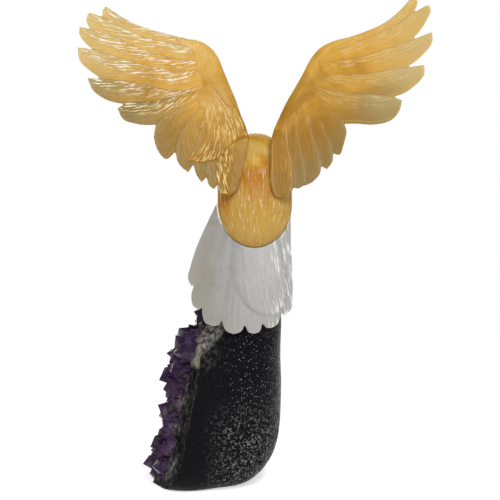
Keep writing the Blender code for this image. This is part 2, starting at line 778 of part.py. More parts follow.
def main():
    for old in list(bpy.data.objects):
        bpy.data.objects.remove(old)
    stone()
    body()
    wing(-1, "left_wing", LEFT_ARM, LEFT_COVERTS, LEFT_QUILLS, LEFT_FLIGHT, LEFT_INNER)
    wing(1, "right_wing", RIGHT_ARM, RIGHT_COVERTS, RIGHT_QUILLS, RIGHT_FLIGHT, RIGHT_INNER)
    tail()
    head()
    beak()


main()
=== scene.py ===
"""Looks of a carved calcite eagle that stands on a chunk of amethyst geode.

Metres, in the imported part's frame: X runs to the eagle's right, Y the way it faces and Z up.
Run it in Blender's text editor. Its sizes and colours are listed under Eagle in the 3D view's sidebar.
"""

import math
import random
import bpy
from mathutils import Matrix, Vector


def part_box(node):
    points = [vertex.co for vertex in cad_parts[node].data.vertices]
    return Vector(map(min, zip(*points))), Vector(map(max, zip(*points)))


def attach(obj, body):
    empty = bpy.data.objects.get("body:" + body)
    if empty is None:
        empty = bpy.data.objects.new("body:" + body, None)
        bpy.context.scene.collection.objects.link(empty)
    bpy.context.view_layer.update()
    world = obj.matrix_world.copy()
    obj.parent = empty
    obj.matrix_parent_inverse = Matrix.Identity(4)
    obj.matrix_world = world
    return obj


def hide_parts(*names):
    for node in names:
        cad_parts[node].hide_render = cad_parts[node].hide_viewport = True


bl_info = {
    "name": "Calcite Eagle on Amethyst",
    "version": (1, 0, 0),
    "blender": (4, 5, 0),
    "location": "View3D > Sidebar > Eagle",
    "description": "Carves an eagle of banded calcite and the amethyst stone that it stands on",
    "category": "Add Mesh",
}

from typing import NamedTuple

import bmesh
import bpy
import numpy as np
from bpy.props import FloatProperty, FloatVectorProperty, PointerProperty
from mathutils import Matrix, Vector, noise
from mathutils.bvhtree import BVHTree
from mathutils.interpolate import poly_3d_calc

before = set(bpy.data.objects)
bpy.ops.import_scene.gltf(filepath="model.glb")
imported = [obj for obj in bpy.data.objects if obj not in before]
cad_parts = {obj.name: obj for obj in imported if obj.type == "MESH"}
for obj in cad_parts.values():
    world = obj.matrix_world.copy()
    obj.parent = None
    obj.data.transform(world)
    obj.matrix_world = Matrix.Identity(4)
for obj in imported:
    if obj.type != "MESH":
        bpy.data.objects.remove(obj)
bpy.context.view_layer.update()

MM = 0.001
ACROSS = Vector((1, 0, 0))
UP = Vector((0, 0, 1))
GLUE_GAP = 0.3 * MM


class Blade(NamedTuple):
    """How a feather is shaped: its crest and where that lies, its edge, its hollow, and how it clears."""

    crest: float
    crest_at: float
    rim: float
    hollow: float
    tilt: float
    clear: float = 0.0
    fade: float = 1.0
    plain: bool = False


class Wing(NamedTuple):
    """A wing: its outlines, how many feathers are long, how it is engraved and polished, and its colours,
    with those of its painted glints.
    """

    side: int
    name: str
    feathers: tuple
    arm: tuple
    coverts: tuple
    elbow: tuple
    flight: int
    slant: float
    polish: float
    layers: tuple
    tip_shading: tuple
    glints: tuple


# Camera: what it aims at, and the width of the picture at that distance
VIEW_AIM = Vector((22.2, -10, 144)) * MM
VIEW_RISE = math.radians(6)
VIEW_DISTANCE = 900 * MM
VIEW_WIDTH = 300 * MM
PHOTO_SIDE = 500
SENSOR_WIDTH = 36

# Studio: each lamp's place, width and height in metres, and power in watts
FLOOR_RADIUS = 0.6
FLOOR_GLOW = 0.56
ROOM_LIGHT = 0.25
LAMPS = (
    ("key light", (0.20, -1.30, 1.05), (0.8, 0.6), 12.5),
    ("glint light", (0.45, -0.75, 1.35), (0.14, 0.14), 4.5),
    ("right light", (1.15, -0.45, 0.35), (0.4, 0.6), 1.7),
    ("left light", (-1.10, -0.60, 0.60), (0.8, 0.8), 2.4),
    ("far light", (-0.3, 1.40, 0.28), (1.0, 1.0), 9.0),
)

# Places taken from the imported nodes
STONE_LOW, STONE_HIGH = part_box("amethyst_stone")
BODY_LOW, BODY_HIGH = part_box("body")
FEET_FORWARD = 3.4 * MM
FEET_ACROSS = 20 * MM
HIPS = Vector(((BODY_LOW.x + BODY_HIGH.x) / 2, FEET_FORWARD, STONE_HIGH.z))

# Wing sheets: each leans with height and sweeps back with its reach
WING_REACH = 101 * MM
WING_RAKE = 0.34
WING_SWEEP = 36 * MM
SHOULDERS = {side: HIPS + Vector((across, -16.5, 99.5)) * MM for side, across in ((-1, -3.5), (1, 10))}

# Feathers: the grids of their surfaces, the share of the length in which they rise out of the arm, how thick
# they are at the root, the share of the crest left at the tip, and the half width below which it shrinks
FEATHER_GRID = (56, 18)
COVER_GRID = (48, 30)
EMERGING = 0.14
ROOT_THICKNESS = 0.8 * MM
TIP_CREST = 0.62
NARROW_HALF = 4 * MM
# Strokes: how far their fan opens, where they begin, how much is engraved at the roots and on plain parts
FAN_RADIUS = 24 * MM
STROKES_BEGIN = 13 * MM
ROOT_WORKED = -0.2
UNWORKED = -0.6

# Tail sheet
TAIL_ROOT = HIPS + Vector((0, -16.5, 54)) * MM
TAIL_SLOPE = 0.30
TAIL_LENGTH = 73 * MM
TAIL_DOME = 3 * MM
TAIL_STEP = 0.35 * MM

# Trunk: from the rump over the back to the neck, as in the solid
TRUNK_AXIS = [HIPS + Vector(point) * MM for point in ((0, -18.5, 30), (0, -8, 96), (0, 27, 83))]
TRUNK_HALF_WIDTH = 22.5 * MM
TRUNK_HALF_DEPTH = 19 * MM
NECK_RADIUS = 12.5 * MM
RUMP_SHARE = 0.24
SHOULDER_SHARE = 0.5

# Left wing's feathers, from the wing's leading edge inwards, in pixels of the photograph: points along the
# leading edge from the quill's start, the tip, and points back along the trailing edge
LEFT_FEATHERS = (
    (((203, 46), (186, 38.8), (162, 32.6), (144, 27.4), (130, 21.4), (117, 13.8)), (105.6, 6),
     ((102.4, 12), (102.9, 18), (122, 28.5), (148, 39.5), (207, 52))),
    (((205, 50), (185, 46), (142, 36.5), (121, 27.2), (103, 17)), (88.8, 12.4),
     ((86.4, 18.5), (91.4, 30.2), (107, 38), (144, 54), (176, 63), (206, 68))),
    (((204, 60), (190, 61), (144, 50.2), (106, 34.5), (92, 30)), (79.6, 26.2),
     ((79, 33), (85.5, 43.2), (94.5, 50.2), (110, 57), (148, 70), (178, 76), (205, 79))),
    (((203, 70), (186, 71.6), (147, 66), (109, 54.8), (94.6, 49.8)), (77.6, 47),
     ((79.4, 60), (89.6, 70.6), (106, 80.8), (122, 84.6), (146, 90.5), (176, 96), (205, 94))),
    (((203, 82), (193, 88.6), (144, 85.4), (120, 80.8), (106.5, 79.4)), (87, 77.6),
     ((93.4, 91), (107.4, 100.2), (126, 104.6), (142, 106.5), (160, 105), (204, 98))),
    (((202, 90), (181, 94), (158, 101), (138.6, 102.8), (126.6, 103.4)), (117.2, 108.4),
     ((123.4, 119.4), (137.7, 124.3), (155.5, 124.9), (172, 121), (205, 100))),
    (((203, 96), (176, 111), (157, 123)), (153.6, 137),
     ((156.5, 148), (167, 159.2), (174.3, 152.8), (188, 134), (210, 102))),
    (((208, 100), (190, 118), (176, 146), (178.4, 163)), (188.3, 173),
     ((193.3, 164.3), (202, 145), (216, 106))),
    (((213, 104), (200, 130), (193.6, 160), (196, 174)), (201.6, 183),
     ((206, 177.3), (212, 150), (223, 110))),
    (((219, 108), (210, 140), (206.2, 172), (209, 185)), (213.8, 189.8),
     ((217.2, 185.3), (222, 155), (230, 114))),
    (((227, 110), (219, 150), (217.2, 182), (222, 193)), (229, 196),
     ((236, 191), (240, 180), (247, 151), (248, 137), (240, 125))),
)
# Its arm and its coverts: points along their outer and their inner edges
LEFT_ARM = (
    ((250.5, 140), (246, 126), (241, 114.5), (235, 98), (230, 86), (223, 69),
     (218, 57), (210, 47), (200, 41), (186, 38.4), (160, 33.4)),
    ((240, 146), (232, 132), (222, 116), (211, 103), (202, 93), (197, 84),
     (194, 74), (190, 63), (184, 53), (176, 44), (160, 36)),
)
LEFT_COVERTS = (
    ((248, 136), (240, 116), (230, 98), (219, 84), (208, 80)),
    ((229, 140), (218.5, 157), (206, 161), (192, 160.5), (178, 150), (176, 130), (184, 110), (198, 94)),
)
# Right wing's feathers and arm in the same way
RIGHT_FEATHERS = (
    (((318, 50), (334, 41), (351, 36.5), (370, 29.5), (384, 23), (398, 12)), (413.5, -5.2),
     ((417, -1), (413, 13.4), (400, 24), (387, 32), (365, 41), (318, 62))),
    (((314, 58), (345, 47.5), (365, 39.5), (387, 30), (400, 22.5), (413, 13)), (428.5, 4.4),
     ((430.6, 9), (425.3, 22.5), (416.5, 35), (407.8, 42.2), (385, 51), (356, 60), (314, 70))),
    (((312, 66), (340, 59.8), (356, 57.8), (370, 53.8), (385, 49.4), (408, 41.2)), (432.6, 31.6),
     ((432.5, 41), (422.5, 55.4), (410.3, 64.8), (400.3, 69.4), (380, 74.5), (354, 78), (310, 78))),
    (((309, 75), (338, 74.4), (354, 75), (370, 73.4), (387, 70.6), (401, 68.4)), (424.6, 64.6),
     ((424.4, 74), (414.3, 86.2), (404, 93.4), (389, 97.4), (370, 97.5), (350, 97), (306, 88))),
    (((307, 84), (338, 92.4), (354, 94), (370, 94.4), (389, 96.2)), (402.4, 99.8),
     ((399, 111.8), (391.7, 119.9), (375.3, 124.6), (354.8, 123.8), (345.2, 123.8), (334, 120), (306, 96))),
    (((318, 92), (330, 108), (341, 119), (346.4, 130)), (344, 144),
     ((338.8, 155), (333.4, 153.2), (326, 136), (308, 100))),
    (((312, 98), (322, 122), (331.6, 146), (332.6, 161)), (327, 169.6),
     ((320.6, 165.4), (314, 146), (307, 104))),
    (((305, 102), (312, 130), (319.4, 156), (319.8, 174)), (312.6, 182.2),
     ((304, 185.8), (297, 160), (298, 108))),
    (((296, 106), (300, 140), (305.5, 168), (304.5, 184)), (299, 189),
     ((294.2, 187.8), (288, 165), (288, 112))),
    (((286, 110), (290, 150), (293.8, 180), (291.6, 192)), (286, 196.6),
     ((275, 196), (271.2, 188), (270.6, 160), (271.4, 144), (280, 126))),
)
RIGHT_ARM = (
    ((270, 140), (273.4, 129), (278, 119.4), (285.6, 103.4), (293, 90.4), (301.6, 75.4),
     (310, 59.4), (320, 47.8), (334, 40.8), (351, 36.4), (368, 30.4)),
    ((279, 147), (289, 132), (298, 116), (306, 104), (313, 94), (318, 84),
     (322, 74), (327, 64), (334, 54), (346, 45), (366, 34)),
)
# Tail feathers in the same way, and how high each one lies
TAIL_FEATHERS = (
    (((219.6, 196.4), (209.3, 217.3), (201.8, 233.3), (195, 250.2), (190, 267), (187.8, 278)), (191, 286.2),
     ((197.6, 283), (205, 262), (229, 203)), 0),
    (((227, 203), (206, 250), (196, 280), (191.3, 295), (193.3, 306)), (198.8, 310.2),
     ((203.8, 306), (210, 285), (234, 203)), 0.6),
    (((232, 203), (215, 262), (206, 295), (202.3, 313), (205.2, 322.6)), (212, 326),
     ((218.4, 325), (222.6, 318), (228, 295), (241, 203)), 1.2),
    (((238, 203), (232, 262), (225.5, 300), (222.2, 321), (226, 330.6)), (233.8, 334.2),
     ((241.4, 331), (245, 323), (247, 290), (249, 203)), 1.8),
    (((246, 203), (246, 262), (245.4, 300), (245.2, 325), (248.4, 332)), (254.3, 334),
     ((260, 331), (262, 322), (262, 290), (257, 203)), 1.5),
    (((254, 203), (258, 262), (261.4, 300), (262, 320), (265.2, 327)), (270, 328.6),
     ((277, 324.6), (280.6, 314), (279, 290), (266, 203)), 1.0),
    (((262, 203), (272, 258), (277.4, 292), (280, 311)), (284.4, 316),
     ((291.2, 309), (292.6, 296), (292, 268), (291.4, 240), (290.4, 214), (286, 200)), 0.5),
    (((238, 215), (232, 258), (233, 281), (240, 295.4), (251, 308.6)), (264, 316),
     ((277, 313), (284, 300), (284, 270), (270, 215)), 2.9),
)

# Breast, legs and toes, as in the solid
BREAST_MIDDLE = HIPS + Vector((0, 5, 52)) * MM
BREAST_RISE = 60
BREAST_HALVES = (26 * MM, 21 * MM, 18.5 * MM)
PERCH = Vector((FEET_ACROSS, FEET_FORWARD, STONE_HIGH.z))
STANCE = 12 * MM
ANKLE_STANCE = 8.5 * MM
THIGH_RADIUS = 10 * MM
THIGH_TOP = 50 * MM
ANKLE_HEIGHT = 11 * MM
ANKLE_RADIUS = 4.2 * MM
SHANK_RADIUS = 3.2 * MM
TOE_LENGTHS = (14 * MM, 17 * MM, 15 * MM)
HIND_TOE_LENGTH = 12 * MM
TOE_RADIUS = 2.5 * MM
SLIM_TOE = 0.9
TOE_SPREAD = math.radians(26)
TOE_RING_PITCH = 1.7 * MM
TOE_RING_DEPTH = 0.22 * MM
# Where the carving of the back runs out towards the neck
CROWN_HEIGHT = HIPS.z + 88 * MM
# A toe's ridge: how far along it, how high in toe radii, and how thick in toe radii
TOE_SHAPE = (
    (0, 2.0, 1.1), (0.2, 1.75, 0.98), (0.4, 1.55, 0.95), (0.56, 1.35, 0.84), (0.72, 1.22, 0.86),
    (0.80, 1.12, 0.58), (0.9, 0.8, 0.42), (1, 0.32, 0.14),
)
# A leg from the thigh down to the ankle: how far down, and how full
LEG_SHARES = (0, 0.2, 0.4, 0.6, 0.8, 0.93, 1)
LEG_FILLS = (0.1, 0.85, 1, 0.85, 0.5, 0.2, 0.05)

# Head and beak, as in the solid
HEAD_LENGTH = 25 * MM
HEAD_NOD = 18
HEAD_HALF_WIDTH = 10.5 * MM
HEAD_HALF_HEIGHT = 11.5 * MM
FACE_SHARE, FACE_ROUND = 0.45, 0.70
EYE_SHARE = 0.68
EYE_RISE, EYE_OUT = 0.26, 0.86
EYE_RADIUS = 2.2 * MM
PUPIL_RADIUS = 0.85 * MM
PUPIL_DEPTH = 0.6 * MM
SOCKET_DEPTH = 0.75 * MM
BROW_SHARES = (2.3, 0.95, 0.6)
BEAK_LENGTH = 14.7 * MM
BEAK_HALF_HEIGHT = 6.3 * MM
BEAK_HALF_WIDTH = 4.6 * MM
# The beak's ridge: forward and up in beak lengths, and its thickness there
BEAK_SHAPE = (
    (0, 0, 1), (0.25, 0.04, 0.97), (0.5, 0.03, 0.86), (0.72, -0.05, 0.68), (0.9, -0.22, 0.45),
    (0.98, -0.45, 0.26), (0.97, -0.66, 0.07),
)

# Layers of the calcite: height above the floor in millimetres, and colour
# The right wing stays amber higher up than the left: partly the calcite's own banding, partly painted shade,
# as that wing faces away from the light
LEFT_LAYERS = ((172, "deep"), (212, "amber"), (251, "honey"), (280, "pale"))
RIGHT_LAYERS = ((172, "deep"), (200, "amber"), (226, "amber"), (260, "honey"), (304, "pale"))
# The body's layers are partly its own bands and partly painted light: paler at the top, which the wings
# shade, and in the rump, against the shade at its rim
BODY_LAYERS = (
    (130, "honey"), (148, "sand"), (162, "sand"), (177, "orange"), (190, "orange"), (202, "honey"),
    (216, "pale"),
)
# Heights in millimetres between which the thin tips clear: the dark tips below are partly painted shade, the
# pale ones above partly painted light
LEFT_TIP_SHADING = (230, 262)
RIGHT_TIP_SHADING = (204, 258)
# How far the layers wander, and how far red, green and blue light reach inside the amber calcite
LAYER_SWING = 110 * MM
MILK_SWING = 90 * MM
AMBER_GLOW = (1.0, 0.55, 0.18)
# Painted glints, highlights painted as pale streaks on the strokes: the body's, what is added to half the
# pale layer's colour high on the wings, the heights between which that begins, and the tail's
BODY_GLINTS = (0.94, 0.84, 0.62)
HIGH_GLINTS = (0.60, 0.63, 0.64)
GLINTS_FROM = 215 * MM
GLINTS_TO = 245 * MM
MILK_GLINTS = (0.86, 0.86, 0.86)
# Colours of the stone: the cream in the quartz, the painted highlight on the gravel's bumps, the painted
# glints, the dusky and the pale foot of the points, and their grain
CREAM = (0.30, 0.27, 0.20)
PEBBLE_SHEEN = (0.215, 0.215, 0.208)
PAINTED_GLINT = (0.40, 0.40, 0.41)
DUSKY_FOOT = (0.030, 0.016, 0.036)
PALE_FOOT = (0.11, 0.085, 0.10)
LILAC_GREY = (0.11, 0.088, 0.115)

LEFT_WING = Wing(
    side=-1, name="left_wing", feathers=LEFT_FEATHERS, arm=LEFT_ARM, coverts=LEFT_COVERTS, elbow=(204, 84),
    flight=6, slant=0.3, polish=0.0, layers=LEFT_LAYERS, tip_shading=LEFT_TIP_SHADING, glints=(0.88, 0.66, 0.24),
)
# The right wing is smoother and less engraved; its painted glints are fewer and darker, as that wing faces
# away from the light
RIGHT_WING = Wing(
    side=1, name="right_wing", feathers=RIGHT_FEATHERS, arm=RIGHT_ARM, coverts=(), elbow=(316, 84),
    flight=5, slant=0.0, polish=0.8, layers=RIGHT_LAYERS, tip_shading=RIGHT_TIP_SHADING, glints=(0.80, 0.52, 0.14),
)

# Stone: the boulder and its broken faces, as in the solid
STONE_HEIGHT = STONE_HIGH.z
STONE_HALF_WIDTH = 41 * MM
STONE_HALF_DEPTH = 39 * MM
STONE_SQUARENESS = 2.6
STONE_LEAN = 0.10
STONE_TOP_ROUND = 8 * MM
STONE_TOP_INSET = 3.5 * MM
CRUST_ROUGHNESS = 0.9 * MM
CRUST_LUMP = 24 * MM
FOOT_AZIMUTH = math.radians(-38)
FOOT_BIAS = 1.6
SHARP_FOOT = (10 * MM, 4 * MM)
BROAD_FOOT = (46 * MM, 29 * MM)
# A broken face: the azimuth and the rise that it looks at, and how far it lies from the stone's middle
DRUSE_BREAK = (151, 10, 17 * MM)
TOP_BREAK = (184, 40, 31 * MM)
RIM_BREAK = (207, 12, 26.5 * MM)
WEDGE_BREAK = (235, 33, 40.5 * MM)
BREAKS = (DRUSE_BREAK, TOP_BREAK, RIM_BREAK, WEDGE_BREAK)
# The pocket in the crust's back, where quartz shows
POCKET_MIDDLE = Vector((-6.5, 0, 88)) * MM
POCKET_HALF_WIDTH = 11.5 * MM
POCKET_HALF_HEIGHT = 14 * MM
# Gravel low on the crust, the lumps of its skin, and the rubble on the broken faces
GRAVEL_TOP = 62 * MM
GRAVEL_FADE = 34 * MM
SKIN_LUMP = 7 * MM
SKIN_LUMP_DEPTH = 0.35 * MM
RUBBLE_SIZE = 6 * MM
RUBBLE_DEPTH = 1.3 * MM
# How deep the points are rooted
POINT_SUNK = 4 * MM
# Height in millimetres, and how large the points are there
POINT_SWELLS = (
    (8, 0.9), (22, 1.0), (34, 0.8), (42, 0.8), (50, 0.65), (60, 0.95), (78, 1.1), (94, 0.9), (104, 1.1),
)
# Height in millimetres, and how far the points stand out there in millimetres
POINT_SHIFTS = (
    (8, 0.5), (20, 0.5), (33, -2), (42, 0.8), (50, -2.5), (60, 1.5), (68, 1.5), (78, 3), (88, 1.5), (95, -1),
    (104, 2),
)


# Shapes of curves
def mix(a, b, share):
    return a + (b - a) * share


def ease(share):
    """0 to 1 with a level start and end."""
    share = min(max(share, 0.0), 1.0)
    return share * share * (3 - 2 * share)


def dome(share):
    """A quarter round: 1 at a share of 0, and 0 at a share of 1."""
    return math.sqrt(max(1 - min(max(share, 0.0), 1.0) ** 2, 0.0))


def heading(azimuth, rise):
    """The unit vector that looks along an azimuth from +X and a rise above level, in degrees."""
    turn, lift = math.radians(azimuth), math.radians(rise)
    return Vector((math.cos(turn) * math.cos(lift), math.sin(turn) * math.cos(lift), math.sin(lift)))


def curve_point(points, share):
    """A point on the Bezier curve through the first and last of the points."""
    while len(points) > 1:
        points = [a.lerp(b, share) for a, b in zip(points, points[1:])]
    return points[0].copy()


def curve_way(points, share):
    """The direction of that curve."""
    step = 0.01
    ahead = curve_point(points, min(share + step, 1))
    return (ahead - curve_point(points, max(share - step, 0))).normalized()


def smooth_line(points, shares):
    """Points at shares of the length of a smooth line that passes through the given ones."""
    knots = np.array(points, float)
    gaps = np.linalg.norm(np.diff(knots, axis=0), axis=1)
    place = np.concatenate([[0], np.cumsum(gaps)])
    slope = np.gradient(knots, place, axis=0)
    at = np.asarray(shares) * place[-1]
    k = np.clip(np.searchsorted(place, at, side="right") - 1, 0, len(gaps) - 1)
    gap = gaps[k][:, None]
    u = ((at - place[k]) / gaps[k])[:, None]
    start = knots[k] * (2 * u**3 - 3 * u**2 + 1) + slope[k] * gap * (u**3 - 2 * u**2 + u)
    end = knots[k + 1] * (3 * u**2 - 2 * u**3) + slope[k + 1] * gap * (u**3 - u**2)
    return start + end


# From the photograph to the part
def view_axes():
    """The way the camera looks, and what is up in its picture."""
    way = Vector((0, math.cos(VIEW_RISE), -math.sin(VIEW_RISE)))
    return way, ACROSS.cross(way)


def on_sheet(spot, depth):
    """Where the line of sight of a pixel meets a sheet, whose y depth gives for x and z."""
    way, rise = view_axes()
    eye = VIEW_AIM - way * VIEW_DISTANCE
    pixel = VIEW_WIDTH / PHOTO_SIDE
    aim = VIEW_AIM + ACROSS * (spot[0] - PHOTO_SIDE / 2) * pixel + rise * (PHOTO_SIDE / 2 - spot[1]) * pixel
    sight = aim - eye
    y = VIEW_AIM.y
    for _ in range(8):
        point = eye + sight * ((y - eye.y) / sight.y)
        y = depth(point.x, point.z)
    return point.x, point.z


def wing_depth(side):
    shoulder = SHOULDERS[side]

    def depth(x, z):
        out = max(side * (x - shoulder.x) / WING_REACH, 0)
        return shoulder.y + WING_RAKE * (z - shoulder.z) - WING_SWEEP * out**1.6

    return depth


def tail_depth(x, z):
    spread = (x - TAIL_ROOT.x) / (TAIL_LENGTH * 0.4)
    return TAIL_ROOT.y + TAIL_DOME * spread**2 - TAIL_SLOPE * (TAIL_ROOT.z - z)


# Forms
def box_grid(along, across):
    """A unit cube whose top and bottom are divided into a grid."""
    form = bmesh.new()
    bmesh.ops.create_cube(form, size=1)
    for axis, cuts in ((0, along - 1), (1, across - 1)):
        edges = [edge for edge in form.edges if abs((edge.verts[0].co - edge.verts[1].co)[axis]) > 0.5]
        bmesh.ops.subdivide_edges(form, edges=edges, cuts=cuts, use_grid_fill=True)
    return form


def loft(rings, sides):
    """A closed form through rings with a middle and two half axes, and each point's ring and turn."""
    form = bmesh.new()
    steps = len(rings) + 1
    bmesh.ops.create_uvsphere(form, u_segments=sides, v_segments=steps, radius=1)
    marks = []
    for vert in form.verts:
        step = round(math.acos(max(min(-vert.co.z, 1), -1)) / math.pi * steps)
        ring = min(max(step - 1, 0), len(rings) - 1)
        turn = math.atan2(vert.co.y, vert.co.x)
        middle, first, second = rings[ring]
        full = 0 if step in (0, steps) else 1
        vert.co = middle + (first * math.cos(turn) + second * math.sin(turn)) * full
        marks.append((ring, turn))
    bmesh.ops.recalc_face_normals(form, faces=form.faces)
    return form, marks


def limb_rings(points, radii, count):
    """Round rings along a smooth line through the points."""
    shares = np.linspace(0, 1, count)
    spots = [Vector(spot) for spot in smooth_line(points, shares)]
    sizes = np.interp(shares, np.linspace(0, 1, len(radii)), radii)
    rings = []
    for k, (spot, size) in enumerate(zip(spots, sizes)):
        way = (spots[min(k + 1, count - 1)] - spots[max(k - 1, 0)]).normalized()
        first = way.cross(ACROSS).normalized()
        rings.append((spot, first * float(size), way.cross(first) * float(size)))
    return rings


def egg_rings(middle, way, halves, count):
    """Rings of an egg whose halves are its length, width and depth."""
    rings = []
    rise = ACROSS.cross(way)
    for k in range(count):
        level = math.pi * (k + 0.5) / count
        spot, size = middle - way * halves[0] * math.cos(level), math.sin(level)
        rings.append((spot, rise * halves[2] * size, ACROSS * halves[1] * size))
    return rings


class Carving:
    """Closed forms that run into each other, and the lay of the strokes at each of their points.

    A lay is: distance along the stroke, distance across it, how far towards the leading side, and how thin.
    """

    def __init__(self):
        self.whole = bmesh.new()
        self.lays = []

    def add(self, form, lays):
        mesh = bpy.data.meshes.new("form")
        form.to_mesh(mesh)
        form.free()
        self.whole.from_mesh(mesh)
        bpy.data.meshes.remove(mesh)
        self.lays += lays

    def unite(self, grain, seat=None):
        """One closed surface round all the forms, less the seat, and its lays."""
        rough = bpy.data.meshes.new("rough")
        self.whole.to_mesh(rough)
        block = bpy.data.objects.new("rough", rough)
        bpy.context.scene.collection.objects.link(block)
        remesh = block.modifiers.new("One surface", "REMESH")
        remesh.mode = "VOXEL"
        remesh.voxel_size = grain
        if seat is not None:
            cut = block.modifiers.new("Seat", "BOOLEAN")
            cut.operation = "DIFFERENCE"
            cut.solver = "MANIFOLD"
            cut.object = seat
        bpy.context.view_layer.update()
        shell = block.evaluated_get(bpy.context.evaluated_depsgraph_get())
        form = bmesh.new()
        form.from_mesh(shell.data)
        for spare in (block, seat):
            if spare is not None:
                bpy.data.meshes.remove(spare.data)
        self.whole.faces.ensure_lookup_table()
        tree = BVHTree.FromBMesh(self.whole)
        lays = np.empty((len(form.verts), 4), np.float32)
        for k, vert in enumerate(form.verts):
            spot, _, face, _ = tree.find_nearest(vert.co)
            corners = self.whole.faces[face].verts
            weights = poly_3d_calc([corner.co for corner in corners], spot)
            known = [self.lays[corner.index] for corner in corners]
            lays[k] = [sum(w * lay[i] for w, lay in zip(weights, known)) for i in range(4)]
        return form, lays


def solid(name, form, lays=None):
    """The finished object, with its lays as attributes for the materials."""
    mesh = bpy.data.meshes.new(name)
    bmesh.ops.triangulate(form, faces=[face for face in form.faces if len(face.verts) > 4])
    form.to_mesh(mesh)
    form.free()
    if lays is not None:
        parts = lays[:, :3] / MM * [1, 1, MM]
        lay = mesh.attributes.new("lay", "FLOAT_VECTOR", "POINT")
        lay.data.foreach_set("vector", np.ascontiguousarray(parts, np.float32).ravel())
        thin = mesh.attributes.new("thin", "FLOAT", "POINT")
        thin.data.foreach_set("value", np.ascontiguousarray(lays[:, 3], np.float32))
    mesh.shade_smooth()
    made = bpy.data.objects.new(name, mesh)
    bpy.context.scene.collection.objects.link(made)
    return made


def coordinates(form):
    return np.array([vert.co for vert in form.verts])


def soften(form, weights, passes):
    """Smooths each point as often as its weight says."""
    form.verts.ensure_lookup_table()
    for step in range(passes):
        near = [form.verts[k] for k in np.nonzero(weights * passes > step)[0]]
        bmesh.ops.smooth_vert(
            form, verts=near, factor=0.5, use_axis_x=True, use_axis_y=True, use_axis_z=True
        )


def push(form, heights):
    """Moves each point along its normal."""
    form.normal_update()
    moves = [vert.normal * float(height) for vert, height in zip(form.verts, heights)]
    for vert, move in zip(form.verts, moves):
        vert.co += move


def strokes(lays, pitch, length, slant=0.0):
    """Noise drawn out along the lay of the feathers, from -1 to 1."""
    along, across = lays[:, 0], lays[:, 1]
    spots = np.stack([along / length, (across + along * slant) / pitch, np.zeros(len(lays))], axis=1)
    return np.array([noise.noise(Vector(spot)) for spot in spots])


# Feathers
def blade_edges(depth, lead, tip, trail):
    """A feather's leading and trailing edges on a sheet, each from the root to the tip."""
    front = [on_sheet(spot, depth) for spot in (*lead, tip)]
    back = [on_sheet(spot, depth) for spot in (tip, *trail)]
    return front, back[::-1]


def feather(depth, edges, blade, lift, mark):
    """A blade between its leading and its trailing edge, with a crest along it."""
    rows, columns = FEATHER_GRID
    form = box_grid(rows, columns)
    shares = 1 - (1 - np.linspace(0, 1, rows + 1)) ** 1.35
    leads, trails = (smooth_line(edge, shares) for edge in edges)
    length = np.linalg.norm(leads[-1] - leads[0])
    lays = []
    for vert in form.verts:
        row, t = round((vert.co.x + 0.5) * rows), vert.co.y * 2
        share = shares[row]
        x, z = mix(trails[row], leads[row], (t + 1) / 2)
        half = np.linalg.norm(leads[row] - trails[row]) / 2
        emerged = ease(share / EMERGING)
        thick = blade.crest * mix(1, TIP_CREST, share) * mix(0.35, 1, min(half / NARROW_HALF, 1))
        thick = max(thick * emerged, min(thick, ROOT_THICKNESS))
        edge = min(blade.rim, thick)
        if t > blade.crest_at:
            high = mix(edge, thick, dome((t - blade.crest_at) / (1 - blade.crest_at)))
        else:
            fall = ease((blade.crest_at - t) / (blade.crest_at + 0.75))
            high = mix(thick, mix(edge, thick, blade.hollow), fall)
        proud = high if vert.co.z > 0 else -mix(edge, thick * 0.7, dome(abs(t)))
        proud += lift + blade.tilt * t * half * emerged
        vert.co = (x, depth(x, z) - proud, z)
        thin = ease((share - 0.35) / 0.65) * 0.75 * blade.fade + 0.2 * abs(t) ** 6
        thin = min(thin + blade.clear * ease(share / 0.5), 1)
        worked = UNWORKED if blade.plain else mix(ROOT_WORKED, t, ease(share / 0.25))
        lays.append((share * length + mark, t * half, worked, thin))
    bmesh.ops.recalc_face_normals(form, faces=form.faces)
    return form, lays


def covering(depth, edges, profile, centre, mark, worked):
    """A smooth form over the quills, whose strokes fan out from a centre."""
    rows, columns = COVER_GRID
    form = box_grid(rows, columns)
    shares = np.linspace(0, 1, rows + 1)
    leads, trails = (smooth_line(edge, shares) for edge in edges)
    lays = []
    for vert in form.verts:
        row, t = round((vert.co.x + 0.5) * rows), vert.co.y + 0.5
        x, z = mix(leads[row], trails[row], t)
        top, bottom = profile(shares[row], t)
        proud = top if vert.co.z > 0 else -bottom
        vert.co = (x, depth(x, z) - proud, z)
        reach = math.hypot(x - centre[0], z - centre[1])
        turn = math.atan2(z - centre[1], x - centre[0])
        kind = mix(UNWORKED, worked, ease(reach / STROKES_BEGIN))
        lays.append((reach + mark, turn * FAN_RADIUS, kind, 0.0))
    bmesh.ops.recalc_face_normals(form, faces=form.faces)
    return form, lays


def arm_profile(share, t):
    """Thick and round at the leading edge, thinner towards the wing's tip."""
    full = mix(1, 0.42, ease((share - 0.45) / 0.55)) * mix(0.15, 1, ease(share / 0.35))
    ridge = 1 - ease((t - 0.32) / 0.68) if t > 0.32 else dome((0.32 - t) / 0.34)
    return mix(0.4, 3.1, ridge) * full * MM, mix(0.5, 2.6, ridge) * full * MM


def covert_profile(share, t):
    """A low swelling that ends in a step over the inner feathers and runs out on the outer side."""
    step = mix(1.9, 0.2, ease((share - 0.3) / 0.2))
    return mix(2.5, step, ease(t)) * MM, mix(1.7, 0.5, ease(t)) * MM


